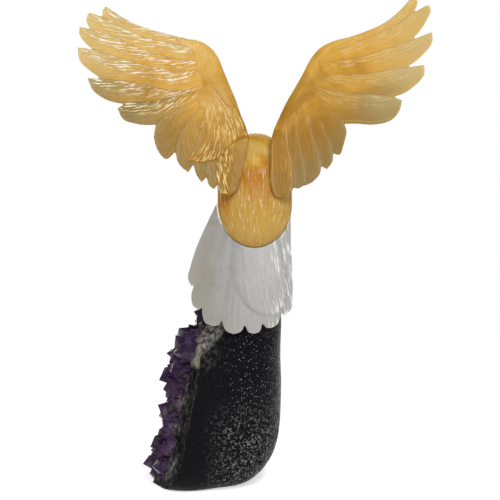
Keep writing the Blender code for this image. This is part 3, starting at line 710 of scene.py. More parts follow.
def wing_blade(wing, look, k):
    """The shape of a wing's feather. The first ones are the long ones; the rest lie flatter. The lower long
    feathers get more of the thin tips' colour, which is partly painted shade.
    """
    long = k < wing.flight
    inner = k == len(wing.feathers) - 1
    far = k / (wing.flight - 1)
    flat = max(wing.polish, 0 if long else 0.85)
    clear, fade = (0.45 * far**2, mix(0.6, 1, far)) if long else (0.2, 0.7)
    return Blade(
        crest=look.crest * mix(1, 0.85, flat),
        crest_at=0.42,
        rim=look.rim,
        hollow=mix(look.hollow, 0.7, flat),
        tilt=look.tilt * mix(1, 0.5, flat),
        clear=0.0 if inner else clear * (1 - 0.5 * wing.polish),
        fade=0.2 if inner else fade * (1 + 0.7 * wing.polish * ease(far * 2)),
        plain=not long and not inner,
    )


def wing_form(wing, look):
    """The wing's surface: its feathers, the arm, and the coverts where it has them."""
    depth = wing_depth(wing.side)
    carving = Carving()
    for k, (lead, tip, trail) in enumerate(wing.feathers):
        edges = blade_edges(depth, lead, tip, trail)
        lift = (k % 2) * 0.1 * MM
        carving.add(*feather(depth, edges, wing_blade(wing, look, k), lift, k * 40 * MM))
    centre = on_sheet(wing.elbow, depth)
    covers = ((wing.arm, arm_profile, ROOT_WORKED), (wing.coverts, covert_profile, 0.05))
    for k, (outline, profile, worked) in enumerate(covers):
        if outline:
            edges = [[on_sheet(spot, depth) for spot in edge] for edge in outline]
            carving.add(*covering(depth, edges, profile, centre, k * 50 * MM, worked))
    form, lays = carving.unite(look.grain, trunk_seat())
    spots = coordinates(form)
    reach = np.hypot(spots[:, 0] - centre[0], spots[:, 2] - centre[1])
    near = np.clip((look.blend_reach - reach) / (look.blend_reach * 0.6), 0, 1)
    root = np.clip(1 - lays[:, 3] / 0.06, 0, 1) * 0.4
    soften(form, np.maximum(near, root), 22)
    soften(form, np.full(len(spots), 1.0), 1)
    depths = look.stroke_depth * mix(1, 0.35, wing.polish) * (1 - near)
    push(form, strokes(lays, 1.3 * MM, 9 * MM, wing.slant) * depths)
    return form, lays


def trunk_rings(grow=0.0):
    """Ovals from the rump, over the back, to the end of the neck."""
    rings = []
    steps = 72
    for step in range(steps + 1):
        share = max((step / steps) ** 1.35, 0.004)
        narrow = ease((share - SHOULDER_SHARE) / (1 - SHOULDER_SHARE))
        swell = dome(1 - share / RUMP_SHARE)
        width = mix(TRUNK_HALF_WIDTH, NECK_RADIUS, narrow) * swell + grow
        depth = mix(TRUNK_HALF_DEPTH, NECK_RADIUS, narrow) * swell + grow
        way = curve_way(TRUNK_AXIS, share)
        rings.append((curve_point(TRUNK_AXIS, share), ACROSS.cross(way) * depth, ACROSS * width))
    if grow:
        for end, step in ((0, -grow), (1, grow)):
            middle, first, second = rings[-end]
            rings.insert(end * len(rings), (middle + curve_way(TRUNK_AXIS, end) * step, first, second))
    return rings


def trunk_seat():
    """The trunk with the glue gap round it, to cut the pieces that lie against it."""
    form, _ = loft(trunk_rings(GLUE_GAP), 96)
    mesh = bpy.data.meshes.new("seat")
    form.to_mesh(mesh)
    form.free()
    seat = bpy.data.objects.new("seat", mesh)
    bpy.context.scene.collection.objects.link(seat)
    return seat


def part_lays(rings, marks, kind, start=0.0):
    """Lays that run along a loft and round it."""
    steps = [(b[0] - a[0]).length for a, b in zip(rings, rings[1:])]
    run = np.concatenate([[0], np.cumsum(steps)])
    widest = max(ring[1].length + ring[2].length for ring in rings) / 2
    return [(start + run[ring], turn * widest, kind, 0.0) for ring, turn in marks]


def add_part(carving, rings, sides, kind, start=0.0):
    form, marks = loft(rings, sides)
    carving.add(form, part_lays(rings, marks, kind, start))


def toe_rings(foot, turn, length, radius):
    """A toe that leaves the ankle, arches and ends in a talon on the stone."""
    out = Vector((math.sin(turn), math.cos(turn), 0))
    points = [foot + out * length * far + UP * (radius * high + GLUE_GAP) for far, high, _ in TOE_SHAPE]
    return limb_rings(points, [radius * thick for _, _, thick in TOE_SHAPE], 36)


def add_leg(carving, side):
    foot = PERCH + ACROSS * side * ANKLE_STANCE
    top = HIPS + ACROSS * side * STANCE + UP * THIGH_TOP
    ankle = foot + UP * ANKLE_HEIGHT
    points = [top.lerp(ankle, share) for share in LEG_SHARES]
    fills = np.interp(np.linspace(0, 1, 14), LEG_SHARES, LEG_FILLS)
    radii = [mix(ANKLE_RADIUS, THIGH_RADIUS, fill) for fill in fills]
    add_part(carving, limb_rings(points, radii, 30), 32, 1.0)
    upper, lower = ankle + UP * 2 * MM, foot + UP * (TOE_RADIUS + GLUE_GAP)
    shank = [upper, upper.lerp(lower, 0.5), lower]
    add_part(carving, limb_rings(shank, [SHANK_RADIUS] * 3, 12), 20, 2.0)
    add_part(carving, toe_rings(foot, math.pi, HIND_TOE_LENGTH, TOE_RADIUS), 16, 2.0)
    for k, length, slim in zip((-1, 0, 1), TOE_LENGTHS, (SLIM_TOE, 1, SLIM_TOE)):
        add_part(carving, toe_rings(foot, side * k * TOE_SPREAD, length, TOE_RADIUS * slim), 16, 2.0)


def scales(lays, pitch, length):
    """Overlapping rows of rounded feathers, from 0 in the hollows to 1 on their lower edges."""
    row = lays[:, 0] / length
    column = lays[:, 1] / pitch
    best = np.zeros(len(lays))
    for step in (0, 1):
        k = np.floor(row) - step
        offset = column - 0.5 * (k % 2)
        aside = offset - np.round(offset)
        down = (row - k) / 1.55
        inside = 1 - np.sqrt((aside / 0.62) ** 2 + np.maximum(down - 0.55, 0) ** 2 / 0.2025)
        best = np.maximum(best, np.where(inside > 0, down * np.clip(inside * 6, 0, 1), 0))
    return best


def head_line():
    """From the neck's end, forward, and down by the nod, to the foot of the beak."""
    way = curve_way(TRUNK_AXIS, 1)
    start = TRUNK_AXIS[-1] + way * GLUE_GAP
    rise = math.degrees(math.asin(way.z)) - HEAD_NOD
    knee = start + way * HEAD_LENGTH / 2
    return [start, knee, knee + heading(90, rise) * HEAD_LENGTH / 2]


def head_ring(share):
    """The head's oval at a share of its length."""
    narrow = dome((share - FACE_SHARE) / FACE_ROUND)
    fill = ease(share / FACE_SHARE)
    half_width = mix(NECK_RADIUS, HEAD_HALF_WIDTH, fill) * narrow
    half_height = mix(NECK_RADIUS, HEAD_HALF_HEIGHT, fill) * narrow
    line = head_line()
    rise = ACROSS.cross(curve_way(line, share))
    return curve_point(line, share), rise * half_height, ACROSS * half_width


def beak_rings(base, way, rise):
    """Ovals along the beak's hooked ridge."""
    shape = np.array(BEAK_SHAPE)
    steps = 44
    shares = np.linspace(0, 1, steps)
    known = np.concatenate([[0], np.cumsum(np.linalg.norm(np.diff(shape[:, :2], axis=0), axis=1))])
    sizes = np.interp(shares * known[-1], known, shape[:, 2])
    places = smooth_line(shape[:, :2], shares)
    points = [base + (way * far + rise * high) * BEAK_LENGTH for far, high in places]
    rings = []
    for k, (point, size) in enumerate(zip(points, sizes)):
        run = (points[min(k + 1, steps - 1)] - points[max(k - 1, 0)]).normalized() if k else way
        rings.append((point, ACROSS.cross(run) * BEAK_HALF_HEIGHT * size, ACROSS * BEAK_HALF_WIDTH * size))
    return rings


# Stone
def foot_inset(turn, height):
    """How far the foot draws in at a height, on the side that looks along a turn."""
    broad = ((1 + math.cos(turn - FOOT_AZIMUTH)) / 2) ** FOOT_BIAS
    rise, inset = (mix(sharp, wide, broad) for sharp, wide in zip(SHARP_FOOT, BROAD_FOOT))
    return inset * (1 - dome(1 - height / rise))


def stone_edge(turn, height):
    """The boulder's outline at a height, on the side that looks along a turn."""
    top = STONE_TOP_INSET * (1 - dome(1 - (STONE_HEIGHT - height) / STONE_TOP_ROUND))
    across, along = math.cos(turn), math.sin(turn)
    share = (abs(across) ** STONE_SQUARENESS + abs(along) ** STONE_SQUARENESS) ** (-1 / STONE_SQUARENESS)
    inset = foot_inset(turn, height) + top
    x = across * (STONE_HALF_WIDTH * share - inset)
    y = along * (STONE_HALF_DEPTH * share - inset) + STONE_LEAN * height
    lump = noise.noise(Vector((x, y, height)) / CRUST_LUMP) * CRUST_ROUGHNESS
    return Vector((x + across * lump, y + along * lump, height))


def stone_axis(height):
    return Vector((0, STONE_LEAN * height, height))


def stone_rings_form(sides):
    """The whole boulder: its underside, its flank and its top."""
    bends = [BROAD_FOOT[0] * (k / 14) ** 2 for k in range(14)]
    flank = [mix(BROAD_FOOT[0], STONE_HEIGHT - STONE_TOP_ROUND, k / 8) for k in range(8)]
    rounds = [STONE_HEIGHT - STONE_TOP_ROUND * (1 - math.sin(math.pi / 2 * k / 8)) for k in range(9)]
    heights = bends + flank + rounds
    form = bmesh.new()
    steps = len(heights) + 1
    bmesh.ops.create_uvsphere(form, u_segments=sides, v_segments=steps, radius=1)
    for vert in form.verts:
        step = round(math.acos(max(min(-vert.co.z, 1), -1)) / math.pi * steps)
        turn = math.atan2(vert.co.y, vert.co.x)
        height = heights[min(max(step - 1, 0), len(heights) - 1)]
        vert.co = stone_axis(height) if step in (0, steps) else stone_edge(turn, height)
    bmesh.ops.recalc_face_normals(form, faces=form.faces)
    return form


def past_break(point, broken):
    """How far a point lies outside a broken face."""
    azimuth, rise, reach = broken
    return (point - stone_axis(STONE_HEIGHT / 2)).dot(heading(azimuth, rise)) - reach


def rim_inset(point):
    """How far a point lies in from the boulder's outline."""
    offset = point - stone_axis(point.z)
    turn = math.atan2(offset.y / STONE_HALF_DEPTH, offset.x / STONE_HALF_WIDTH)
    edge = stone_edge(turn, min(max(point.z, 0), STONE_HEIGHT)) - stone_axis(point.z)
    return min(edge.length - offset.length, STONE_HEIGHT - point.z)


def pocket_share(spot):
    """0 in the middle of the pocket in the crust's back, 1 at its rim, and infinite on the front."""
    if spot.y >= 0:
        return math.inf
    beside = spot - POCKET_MIDDLE
    return math.hypot(beside.x / POCKET_HALF_WIDTH, beside.z / POCKET_HALF_HEIGHT)


def cut_face(block, broken):
    """Cuts away what lies outside a broken face, and closes the cut."""
    azimuth, rise, reach = broken
    way = heading(azimuth, rise)
    cut = bmesh.ops.bisect_plane(
        block, geom=block.verts[:] + block.edges[:] + block.faces[:],
        plane_co=stone_axis(STONE_HEIGHT / 2) + way * reach, plane_no=way, clear_outer=True,
    )
    rim = [item for item in cut["geom_cut"] if isinstance(item, bmesh.types.BMEdge)]
    bmesh.ops.holes_fill(block, edges=rim)


def crystal(foot, way, radius, shank, tip, turn, chance):
    """A six-sided point whose faces meet at uneven heights."""
    form = bmesh.new()
    narrow = radius * 0.95
    bmesh.ops.create_cone(form, cap_ends=True, segments=6, radius1=radius, radius2=narrow, depth=shank)
    top = max(form.faces, key=lambda face: face.calc_center_median().z)
    shoulders = sorted(top.verts, key=lambda vert: math.atan2(vert.co.y, vert.co.x))
    for k, vert in enumerate(shoulders):
        vert.co.z += tip * (0.16 * (-1) ** k + chance.uniform(-0.08, 0.08))
    bmesh.ops.poke(form, faces=[top], offset=tip)
    peak = max(form.verts, key=lambda vert: vert.co.z)
    peak.co += Vector((chance.uniform(-0.16, 0.16), chance.uniform(-0.16, 0.16), 0)) * radius
    bmesh.ops.translate(form, verts=form.verts, vec=(0, 0, shank / 2))
    bmesh.ops.rotate(form, verts=form.verts, cent=(0, 0, 0), matrix=Matrix.Rotation(turn, 3, "Z"))
    bmesh.ops.rotate(form, verts=form.verts, cent=(0, 0, 0), matrix=UP.rotation_difference(way).to_matrix())
    bmesh.ops.translate(form, verts=form.verts, vec=foot)
    bmesh.ops.recalc_face_normals(form, faces=form.faces)
    return form


def point_places(broken, pitch, sizes, look, chance):
    """Points in uneven rows on a broken face: each one's foot, way, size, turn and how much longer it is."""
    azimuth, face_rise, reach = broken
    way = heading(azimuth, face_rise)
    along = heading(azimuth + 90, 0)
    up = way.cross(along).normalized()
    centre = stone_axis(STONE_HEIGHT / 2) + way * reach
    rows = math.ceil(STONE_HEIGHT / pitch / 2) + 2
    places = []
    for row in range(-rows, rows + 1):
        for column in range(-rows, rows + 1):
            across = column + 0.5 * (row % 2) + chance.uniform(-0.4, 0.4)
            rise = (row + chance.uniform(-0.4, 0.4)) * math.sin(math.radians(60))
            size = mix(*sizes, chance.random() ** 1.2)
            level = (centre.z + rise * pitch * up.z) / MM
            size *= float(np.interp(level, *zip(*POINT_SWELLS)))
            lean = [math.tan(math.radians(chance.uniform(-36, 36))) for _ in range(2)]
            turn = chance.uniform(0, math.pi / 3)
            foot = centre + (along * across + up * rise) * pitch
            tilt = (way + along * lean[0] + up * lean[1]).normalized()
            radius = look.radius * size
            inside = 3 * MM < foot.z < STONE_HEIGHT - 5 * MM
            if not inside or rim_inset(foot - way * 2 * MM) < radius * 0.75 + 3 * MM:
                continue
            if any(past_break(foot, other) > 1.5 * MM for other in BREAKS if other != broken):
                continue
            low = (foot - tilt * POINT_SUNK).z
            if past_break(foot, DRUSE_BREAK) < -look.band or not radius < low < STONE_HEIGHT - 9 * MM:
                continue
            shift = float(np.interp(level, *zip(*POINT_SHIFTS))) * MM
            places.append((foot + way * min(shift, 0), tilt, size, turn, max(shift, 0)))
    return places


# Settings
class StoneSettings(bpy.types.PropertyGroup):
    """How the stone looks."""

    grain: FloatProperty(
        name="Grain", description="Size of the finest step in the crust",
        default=0.85 * MM, subtype="DISTANCE", unit="LENGTH",
    )
    pebble: FloatProperty(
        name="Pebbles", description="Size of the bumps on the crust",
        default=2.6 * MM, subtype="DISTANCE", unit="LENGTH",
    )
    pebble_depth: FloatProperty(
        name="Pebble depth", description="Depth of the bumps low on the crust",
        default=0.9 * MM, subtype="DISTANCE", unit="LENGTH",
    )
    pitch: FloatProperty(
        name="Point pitch", description="Distance between the rows of amethyst points",
        default=7.6 * MM, subtype="DISTANCE", unit="LENGTH",
    )
    radius: FloatProperty(
        name="Point radius", description="Radius of a middling amethyst point",
        default=5.4 * MM, subtype="DISTANCE", unit="LENGTH",
    )
    tip: FloatProperty(
        name="Point height", description="Height of a middling point's tip",
        default=5.6 * MM, subtype="DISTANCE", unit="LENGTH",
    )
    band: FloatProperty(
        name="Band", description="How far the points spread from the deepest face",
        default=13 * MM, subtype="DISTANCE", unit="LENGTH",
    )
    black: FloatVectorProperty(
        name="Black", description="Colour of the crust",
        default=(0.004, 0.004, 0.005), subtype="COLOR", size=3,
    )
    quartz: FloatVectorProperty(
        name="Quartz", description="Colour of the quartz below the crust",
        default=(0.36, 0.335, 0.31), subtype="COLOR", size=3,
    )
    agate: FloatVectorProperty(
        name="Agate", description="Colour of the layer between the crust and the quartz",
        default=(0.055, 0.050, 0.042), subtype="COLOR", size=3,
    )
    amethyst: FloatVectorProperty(
        name="Amethyst", description="Colour of the points' tips",
        default=(0.022, 0.005, 0.032), subtype="COLOR", size=3,
    )


class BodySettings(bpy.types.PropertyGroup):
    """How the body, the tail and the head are carved."""

    grain: FloatProperty(
        name="Body grain", description="Size of the finest carved step on the body",
        default=0.65 * MM, subtype="DISTANCE", unit="LENGTH",
    )
    fine_grain: FloatProperty(
        name="Head grain", description="Size of the finest carved step on the head and the beak",
        default=0.36 * MM, subtype="DISTANCE", unit="LENGTH",
    )
    stroke_depth: FloatProperty(
        name="Body strokes", description="Depth of the engraved strokes on the back",
        default=0.30 * MM, subtype="DISTANCE", unit="LENGTH",
    )
    scale_depth: FloatProperty(
        name="Body scales", description="Depth of the small feathers on the breast",
        default=0.45 * MM, subtype="DISTANCE", unit="LENGTH",
    )
    milk: FloatVectorProperty(
        name="Milk", description="Colour of the white calcite",
        default=(0.32, 0.318, 0.308), subtype="COLOR", size=3,
    )
    white: FloatVectorProperty(
        name="White", description="Colour of the head", default=(0.62, 0.615, 0.59), subtype="COLOR", size=3
    )
    # Grey: the colour that the white calcite takes towards the eagle's left and where it is thin, such as
    # the head's eye rings
    grey: FloatVectorProperty(
        name="Grey", description="Colour of its clearer bands",
        default=(0.29, 0.268, 0.222), subtype="COLOR", size=3,
    )
    yellow: FloatVectorProperty(
        name="Yellow", description="Colour of the beak", default=(0.66, 0.36, 0.05), subtype="COLOR", size=3
    )


class WingSettings(bpy.types.PropertyGroup):
    """How the wings are carved."""

    grain: FloatProperty(
        name="Grain", description="Size of the finest carved step",
        default=0.5 * MM, subtype="DISTANCE", unit="LENGTH",
    )
    crest: FloatProperty(
        name="Crest", description="Height of a feather's crest above the middle of the wing",
        default=1.7 * MM, subtype="DISTANCE", unit="LENGTH",
    )
    rim: FloatProperty(
        name="Rim", description="Half the thickness of a feather's edge",
        default=0.6 * MM, subtype="DISTANCE", unit="LENGTH",
    )
    hollow: FloatProperty(
        name="Hollow", description="Share of the crest that is left behind it",
        default=0.12, subtype="FACTOR",
    )
    tilt: FloatProperty(
        name="Tilt", description="How far each feather rises towards its leading edge",
        default=0.085, subtype="FACTOR",
    )
    blend_reach: FloatProperty(
        name="Blend", description="How far from the elbow the feathers run together",
        default=26 * MM, subtype="DISTANCE", unit="LENGTH",
    )
    stroke_depth: FloatProperty(
        name="Stroke depth", description="Depth of the engraved strokes",
        default=0.16 * MM, subtype="DISTANCE", unit="LENGTH",
    )
    deep: FloatVectorProperty(
        name="Deep", description="Colour of the deepest layer",
        default=(0.29, 0.145, 0.013), subtype="COLOR", size=3,
    )
    amber: FloatVectorProperty(
        name="Amber", description="Colour of the amber layer",
        default=(0.34, 0.162, 0.007), subtype="COLOR", size=3,
    )
    orange: FloatVectorProperty(
        name="Orange", description="Colour of the layer in the back",
        default=(0.46, 0.186, 0.010), subtype="COLOR", size=3,
    )
    sand: FloatVectorProperty(
        name="Sand", description="Colour of the layer in the rump",
        default=(0.51, 0.30, 0.058), subtype="COLOR", size=3,
    )
    honey: FloatVectorProperty(
        name="Honey", description="Colour of the honey layer",
        default=(0.62, 0.345, 0.042), subtype="COLOR", size=3,
    )
    pale: FloatVectorProperty(
        name="Pale", description="Colour of the pale layer",
        default=(0.68, 0.47, 0.135), subtype="COLOR", size=3,
    )
    # Tip: the colour where it is thin, darker low down, where it partly stands for painted shade
    tip: FloatVectorProperty(
        name="Tip", description="Colour where it is thin",
        default=(0.25, 0.195, 0.075), subtype="COLOR", size=3,
    )
    # Clear tip: the paler thin colour high up, partly a painted highlight
    clear: FloatVectorProperty(
        name="Clear tip", description="Colour where it is thin near the top",
        default=(0.56, 0.44, 0.19), subtype="COLOR", size=3,
    )


# Materials
def new_material(name):
    material = bpy.data.materials.new(name)
    material.use_nodes = True
    tree = material.node_tree
    return material, tree, tree.nodes["Principled BSDF"]


def plug(tree, node, inputs):
    """Puts values, or other nodes' outputs, on a node's inputs by their name or number."""
    for place, value in inputs.items():
        if isinstance(value, bpy.types.NodeSocket):
            tree.links.new(value, node.inputs[place])
        else:
            node.inputs[place].default_value = value


def add_node(tree, kind, inputs=None, **settings):
    """A node with its settings and its inputs."""
    made = tree.nodes.new(kind)
    for name, value in settings.items():
        setattr(made, name, value)
    plug(tree, made, inputs or {})
    return made


def attribute(tree, name, output):
    return add_node(tree, "ShaderNodeAttribute", attribute_name=name).outputs[output]


def object_spot(tree):
    return add_node(tree, "ShaderNodeTexCoord").outputs["Object"]


def split(tree, vector):
    """The X, Y and Z of a vector."""
    return add_node(tree, "ShaderNodeSeparateXYZ", {"Vector": vector}).outputs


def noise_texture(tree, spot, scale, detail, roughness, distortion=0.0):
    return add_node(tree, "ShaderNodeTexNoise", {
        "Vector": spot, "Scale": scale, "Detail": detail, "Roughness": roughness, "Distortion": distortion,
    }).outputs["Fac"]


def ramp(tree, source, *stops):
    """A colour ramp with stops of place and colour."""
    made = add_node(tree, "ShaderNodeValToRGB", {"Fac": source})
    elements = made.color_ramp.elements
    while len(elements) < len(stops):
        elements.new(0.5)
    for element, (place, colour) in zip(elements, stops):
        element.position = place
        element.color = (*colour, 1)
    return made.outputs["Color"]


def blend_colours(tree, share, first, second):
    """A mix of two colours, each a plain one or another node's output."""
    sides = [side if isinstance(side, bpy.types.NodeSocket) else (*side, 1) for side in (first, second)]
    return add_node(tree, "ShaderNodeMix", {0: share, 6: sides[0], 7: sides[1]}, data_type="RGBA").outputs[2]


def calculate(tree, how, *values):
    return add_node(tree, "ShaderNodeMath", dict(enumerate(values)), operation=how).outputs[0]


def times(tree, first, second):
    return calculate(tree, "MULTIPLY", first, second)


def plus(tree, first, second):
    return calculate(tree, "ADD", first, second)


def swing(tree, value, reach):
    """A noise that is 0.5 in the middle, made to swing round 0."""
    return times(tree, calculate(tree, "SUBTRACT", value, 0.5), reach)


def span(tree, value, low, high, to_low=0.0, to_high=1.0):
    """Maps a range of values smoothly onto another."""
    inputs = {"Value": value, "From Min": low, "From Max": high, "To Min": to_low, "To Max": to_high}
    return add_node(tree, "ShaderNodeMapRange", inputs, interpolation_type="SMOOTHSTEP").outputs["Result"]


def tinted(colour, share, more=0.0):
    """A colour made darker or lighter, with a little white added."""
    return tuple(part * share + more for part in colour)


def new_group(name, inputs, outputs):
    """A node group whose inputs are numbers, or vectors for None, and whose outputs are numbers."""
    group = bpy.data.node_groups.new(name, "ShaderNodeTree")
    for socket, value in inputs.items():
        kind = "NodeSocketVector" if value is None else "NodeSocketFloat"
        made = group.interface.new_socket(socket, in_out="INPUT", socket_type=kind)
        if value is not None:
            made.default_value = value
    for socket in outputs:
        group.interface.new_socket(socket, in_out="OUTPUT", socket_type="NodeSocketFloat")
    return group, group.nodes.new("NodeGroupInput").outputs, group.nodes.new("NodeGroupOutput")


def stroke_group():
    """Engraved hair-like strokes, drawn out along the lay of the piece."""
    name = "Engraved strokes"
    if name in bpy.data.node_groups:
        return bpy.data.node_groups[name]
    inputs = {"Lay": None, "Pitch": 0.8, "Length": 9.0, "Slant": 0.0}
    group, given, leave = new_group(name, inputs, ["Height"])
    lay = split(group, given["Lay"])
    shift = times(group, lay["X"], given["Slant"])
    across = calculate(group, "DIVIDE", plus(group, lay["Y"], shift), given["Pitch"])
    along = calculate(group, "DIVIDE", lay["X"], given["Length"])
    spot = add_node(group, "ShaderNodeCombineXYZ", {"X": along, "Y": across}).outputs[0]
    plug(group, leave, {"Height": noise_texture(group, spot, 1.0, 2.0, 0.65)})
    return group


def banding_group():
    """Cloudy bands inside the calcite."""
    name = "Calcite bands"
    if name in bpy.data.node_groups:
        return bpy.data.node_groups[name]
    group, given, leave = new_group(name, {"Spot": None, "Size": 30.0, "Twist": 1.5}, ["Cloud", "Vein"])
    cloud = noise_texture(group, given["Spot"], given["Size"], 3.0, 0.55, given["Twist"])
    vein = noise_texture(group, given["Spot"], times(group, given["Size"], 2.7), 4.0, 0.6, 0.4)
    plug(group, leave, {"Cloud": cloud, "Vein": vein})
    return group


def use_group(tree, group, **inputs):
    return add_node(tree, "ShaderNodeGroup", inputs, node_tree=group).outputs


def finish_shader(tree, shader, colour, relief, strength, depth, values):
    """Gives the shader its colour, a relief of a strength and a depth, and its other values."""
    bump = add_node(tree, "ShaderNodeBump", {"Height": relief, "Strength": strength, "Distance": depth})
    plug(tree, shader, {"Base Color": colour, "Normal": bump.outputs["Normal"], "Metallic": 0, **values})


def honey_calcite(name, look, layers, tip_shading, low_glints, slant, engraving, sparse=0.0):
    """Translucent honey calcite with a polish and engraved strokes, and with painted glints: highlights
    painted as pale streaks on the strokes where it is worked most.
    """
    material, tree, shader = new_material(name)
    lay, thin = attribute(tree, "lay", "Vector"), attribute(tree, "thin", "Fac")
    spot = object_spot(tree)
    side, height = split(tree, lay)["Z"], split(tree, spot)["Z"]
    bands = use_group(tree, banding_group(), Spot=spot, Size=26.0, Twist=1.2)
    low, high = layers[0][0] * MM, layers[-1][0] * MM
    risen = calculate(tree, "SUBTRACT", plus(tree, height, swing(tree, bands["Cloud"], LAYER_SWING)), low)
    stops = [((place * MM - low) / (high - low), getattr(look, colour)) for place, colour in layers]
    colour = ramp(tree, calculate(tree, "DIVIDE", risen, high - low), *stops)
    colour = blend_colours(tree, span(tree, bands["Vein"], 0.55, 0.75, 0.0, 0.14), colour, look.pale)
    # Thin tips: darker low down and paler high up, partly painted shade below and painted light above
    tip = blend_colours(tree, span(tree, height, tip_shading[0] * MM, tip_shading[1] * MM), look.tip, look.clear)
    colour = blend_colours(tree, times(tree, thin, 0.95), colour, tip)
    fine = use_group(tree, stroke_group(), Lay=lay, Pitch=0.85, Length=7.0, Slant=slant)["Height"]
    hatch = use_group(tree, stroke_group(), Lay=lay, Pitch=1.5, Length=16.0, Slant=slant * 0.8)["Height"]
    worked = times(tree, span(tree, side, -0.25, 0.35, 0.1, 1.0), engraving)
    # Painted glints: pale streaks on the worked strokes stand in for highlights
    glint_share = times(tree, span(tree, fine, 0.51 + sparse, 0.59 + sparse), worked)
    glint_share = times(tree, glint_share, span(tree, bands["Vein"], 0.36, 0.50, 0.45, 1.0))
    bright = tuple(part * 0.5 + more for part, more in zip(look.pale, HIGH_GLINTS))
    glints = blend_colours(tree, span(tree, height, GLINTS_FROM, GLINTS_TO), low_glints, bright)
    colour = blend_colours(tree, glint_share, colour, glints)
    edge = calculate(tree, "ABSOLUTE", side)
    # Pale lines near the feathers' edges, where a wing is less engraved
    rule = times(tree, span(tree, edge, 0.74, 0.79), span(tree, edge, 0.86, 0.81))
    colour = blend_colours(tree, times(tree, rule, 0.35 * (1 - engraving)), colour, look.pale)
    relief = times(tree, plus(tree, fine, times(tree, hatch, 0.6)), plus(tree, worked, 0.25))
    finish_shader(tree, shader, colour, relief, 1.0, 1.0 * MM, {
        "Roughness": span(tree, hatch, 0.35, 0.7, 0.20, 0.36),
        "Specular IOR Level": 0.18,
        "Subsurface Weight": 0.35,
        "Subsurface Radius": AMBER_GLOW,
        "Subsurface Scale": 4 * MM,
        "Coat Weight": 0.05,
        "Coat Roughness": 0.1,
    })
    return material


def milky_calcite(name, white, grey, grey_to_white, greying_and_sheen, pitch, slant, glints):
    """Translucent white calcite, greyer towards the eagle's left and where it is thin, with a polish, faint
    strokes, and painted glints that stand in for highlights towards the eagle's right.
    """
    material, tree, shader = new_material(name)
    lay, thin = attribute(tree, "lay", "Vector"), attribute(tree, "thin", "Fac")
    spot = object_spot(tree)
    across = split(tree, spot)["X"]
    bands = use_group(tree, banding_group(), Spot=spot, Size=38.0, Twist=0.9)
    level = plus(tree, across, swing(tree, bands["Cloud"], MILK_SWING))
    colour = blend_colours(tree, span(tree, level, grey_to_white[0] * MM, grey_to_white[1] * MM), grey, white)
    # Greyer where it is thin: the tail's thin edges and the head's eye rings and pupils
    colour = blend_colours(tree, times(tree, thin, greying_and_sheen), colour, grey)
    fine = use_group(tree, stroke_group(), Lay=lay, Pitch=pitch, Length=12.0, Slant=slant)["Height"]
    # Painted glints: pale streaks standing in for highlights, towards the eagle's right
    glint_share = times(tree, span(tree, fine, 0.53, 0.62), span(tree, across, 24 * MM, 46 * MM, 0.0, glints))
    colour = blend_colours(tree, glint_share, colour, MILK_GLINTS)
    relief = times(tree, fine, plus(tree, span(tree, across, 12 * MM, 36 * MM), 0.2))
    finish_shader(tree, shader, colour, relief, 0.45, 0.5 * MM, {
        "Roughness": span(tree, bands["Vein"], 0.35, 0.7, 0.24, 0.40),
        "IOR": 1.55,
        "Subsurface Weight": 0.4,
        "Subsurface Radius": (1.0, 0.9, 0.8),
        "Subsurface Scale": 5 * MM,
        "Specular IOR Level": 0.35,
        "Coat Weight": 0.15,
        "Coat Roughness": 0.12,
    })
    return material


def amber_calcite(name, look):
    """Golden calcite, cloudy and polished."""
    material, tree, shader = new_material(name)
    bands = use_group(tree, banding_group(), Spot=object_spot(tree), Size=60.0, Twist=0.8)
    deep = tinted(look.yellow, 0.75)
    pale = tuple(min(part, 1) for part in tinted(look.yellow, 1.2, 0.04))
    colour = ramp(tree, bands["Cloud"], (0.32, deep), (0.5, look.yellow), (0.7, pale))
    finish_shader(tree, shader, colour, bands["Vein"], 0.2, 0.2 * MM, {
        "Roughness": 0.22,
        "Subsurface Weight": 0.3,
        "Subsurface Radius": AMBER_GLOW,
        "Subsurface Scale": 3 * MM,
        "Coat Weight": 0.5,
    })
    return material


def broken_layers(tree, look, depth, sway, patch, grit, level):
    """What shows inside the crust: agate, then paler quartz, cream in a patch, and violet furthest in."""
    quartz = blend_colours(tree, span(tree, grit, 0.38, 0.66), tinted(look.quartz, 0.12), look.quartz)
    agate = blend_colours(tree, span(tree, grit, 0.45, 0.7), look.black, look.agate)
    low = span(tree, plus(tree, level, sway), 26.0, 14.0)
    shares = (
        span(tree, depth, 9.0, 13.0, 0.0, 0.45),
        times(tree, low, span(tree, depth, 3.0, 6.0, 0.0, 0.55)),
        times(tree, patch, span(tree, depth, 1.5, 4.5)),
    )
    bright = calculate(tree, "MAXIMUM", calculate(tree, "MAXIMUM", *shares[:2]), shares[2])
    rise = plus(tree, level, times(tree, sway, 0.5))
    cream = times(tree, span(tree, rise, 73.0, 77.0), span(tree, rise, 87.0, 81.0, 0.0, 0.6))
    quartz = blend_colours(tree, times(tree, cream, patch), quartz, CREAM)
    layers = blend_colours(tree, bright, agate, quartz)
    violet = tinted(look.amethyst, 0.6, 0.004)
    return blend_colours(tree, span(tree, depth, 13.0, 18.0, 0.0, 0.8), layers, violet)


def painted_glints(tree, spot, aside):
    """Painted glints: tiny bright specks that stand in for highlights, most of them towards the eagle's
    right.
    """
    inputs = {"Vector": spot, "Scale": 1500.0, "Randomness": 1.0}
    speck = add_node(tree, "ShaderNodeTexVoronoi", inputs, feature="F1").outputs
    chosen = add_node(tree, "ShaderNodeSeparateColor", {"Color": speck["Color"]}).outputs["Red"]
    near = times(tree, span(tree, speck["Distance"], 0.5, 0.25), span(tree, aside, 0.0, 22.0, 0.08, 1.0))
    return times(tree, times(tree, near, span(tree, chosen, 0.83, 1.0)), 0.9)


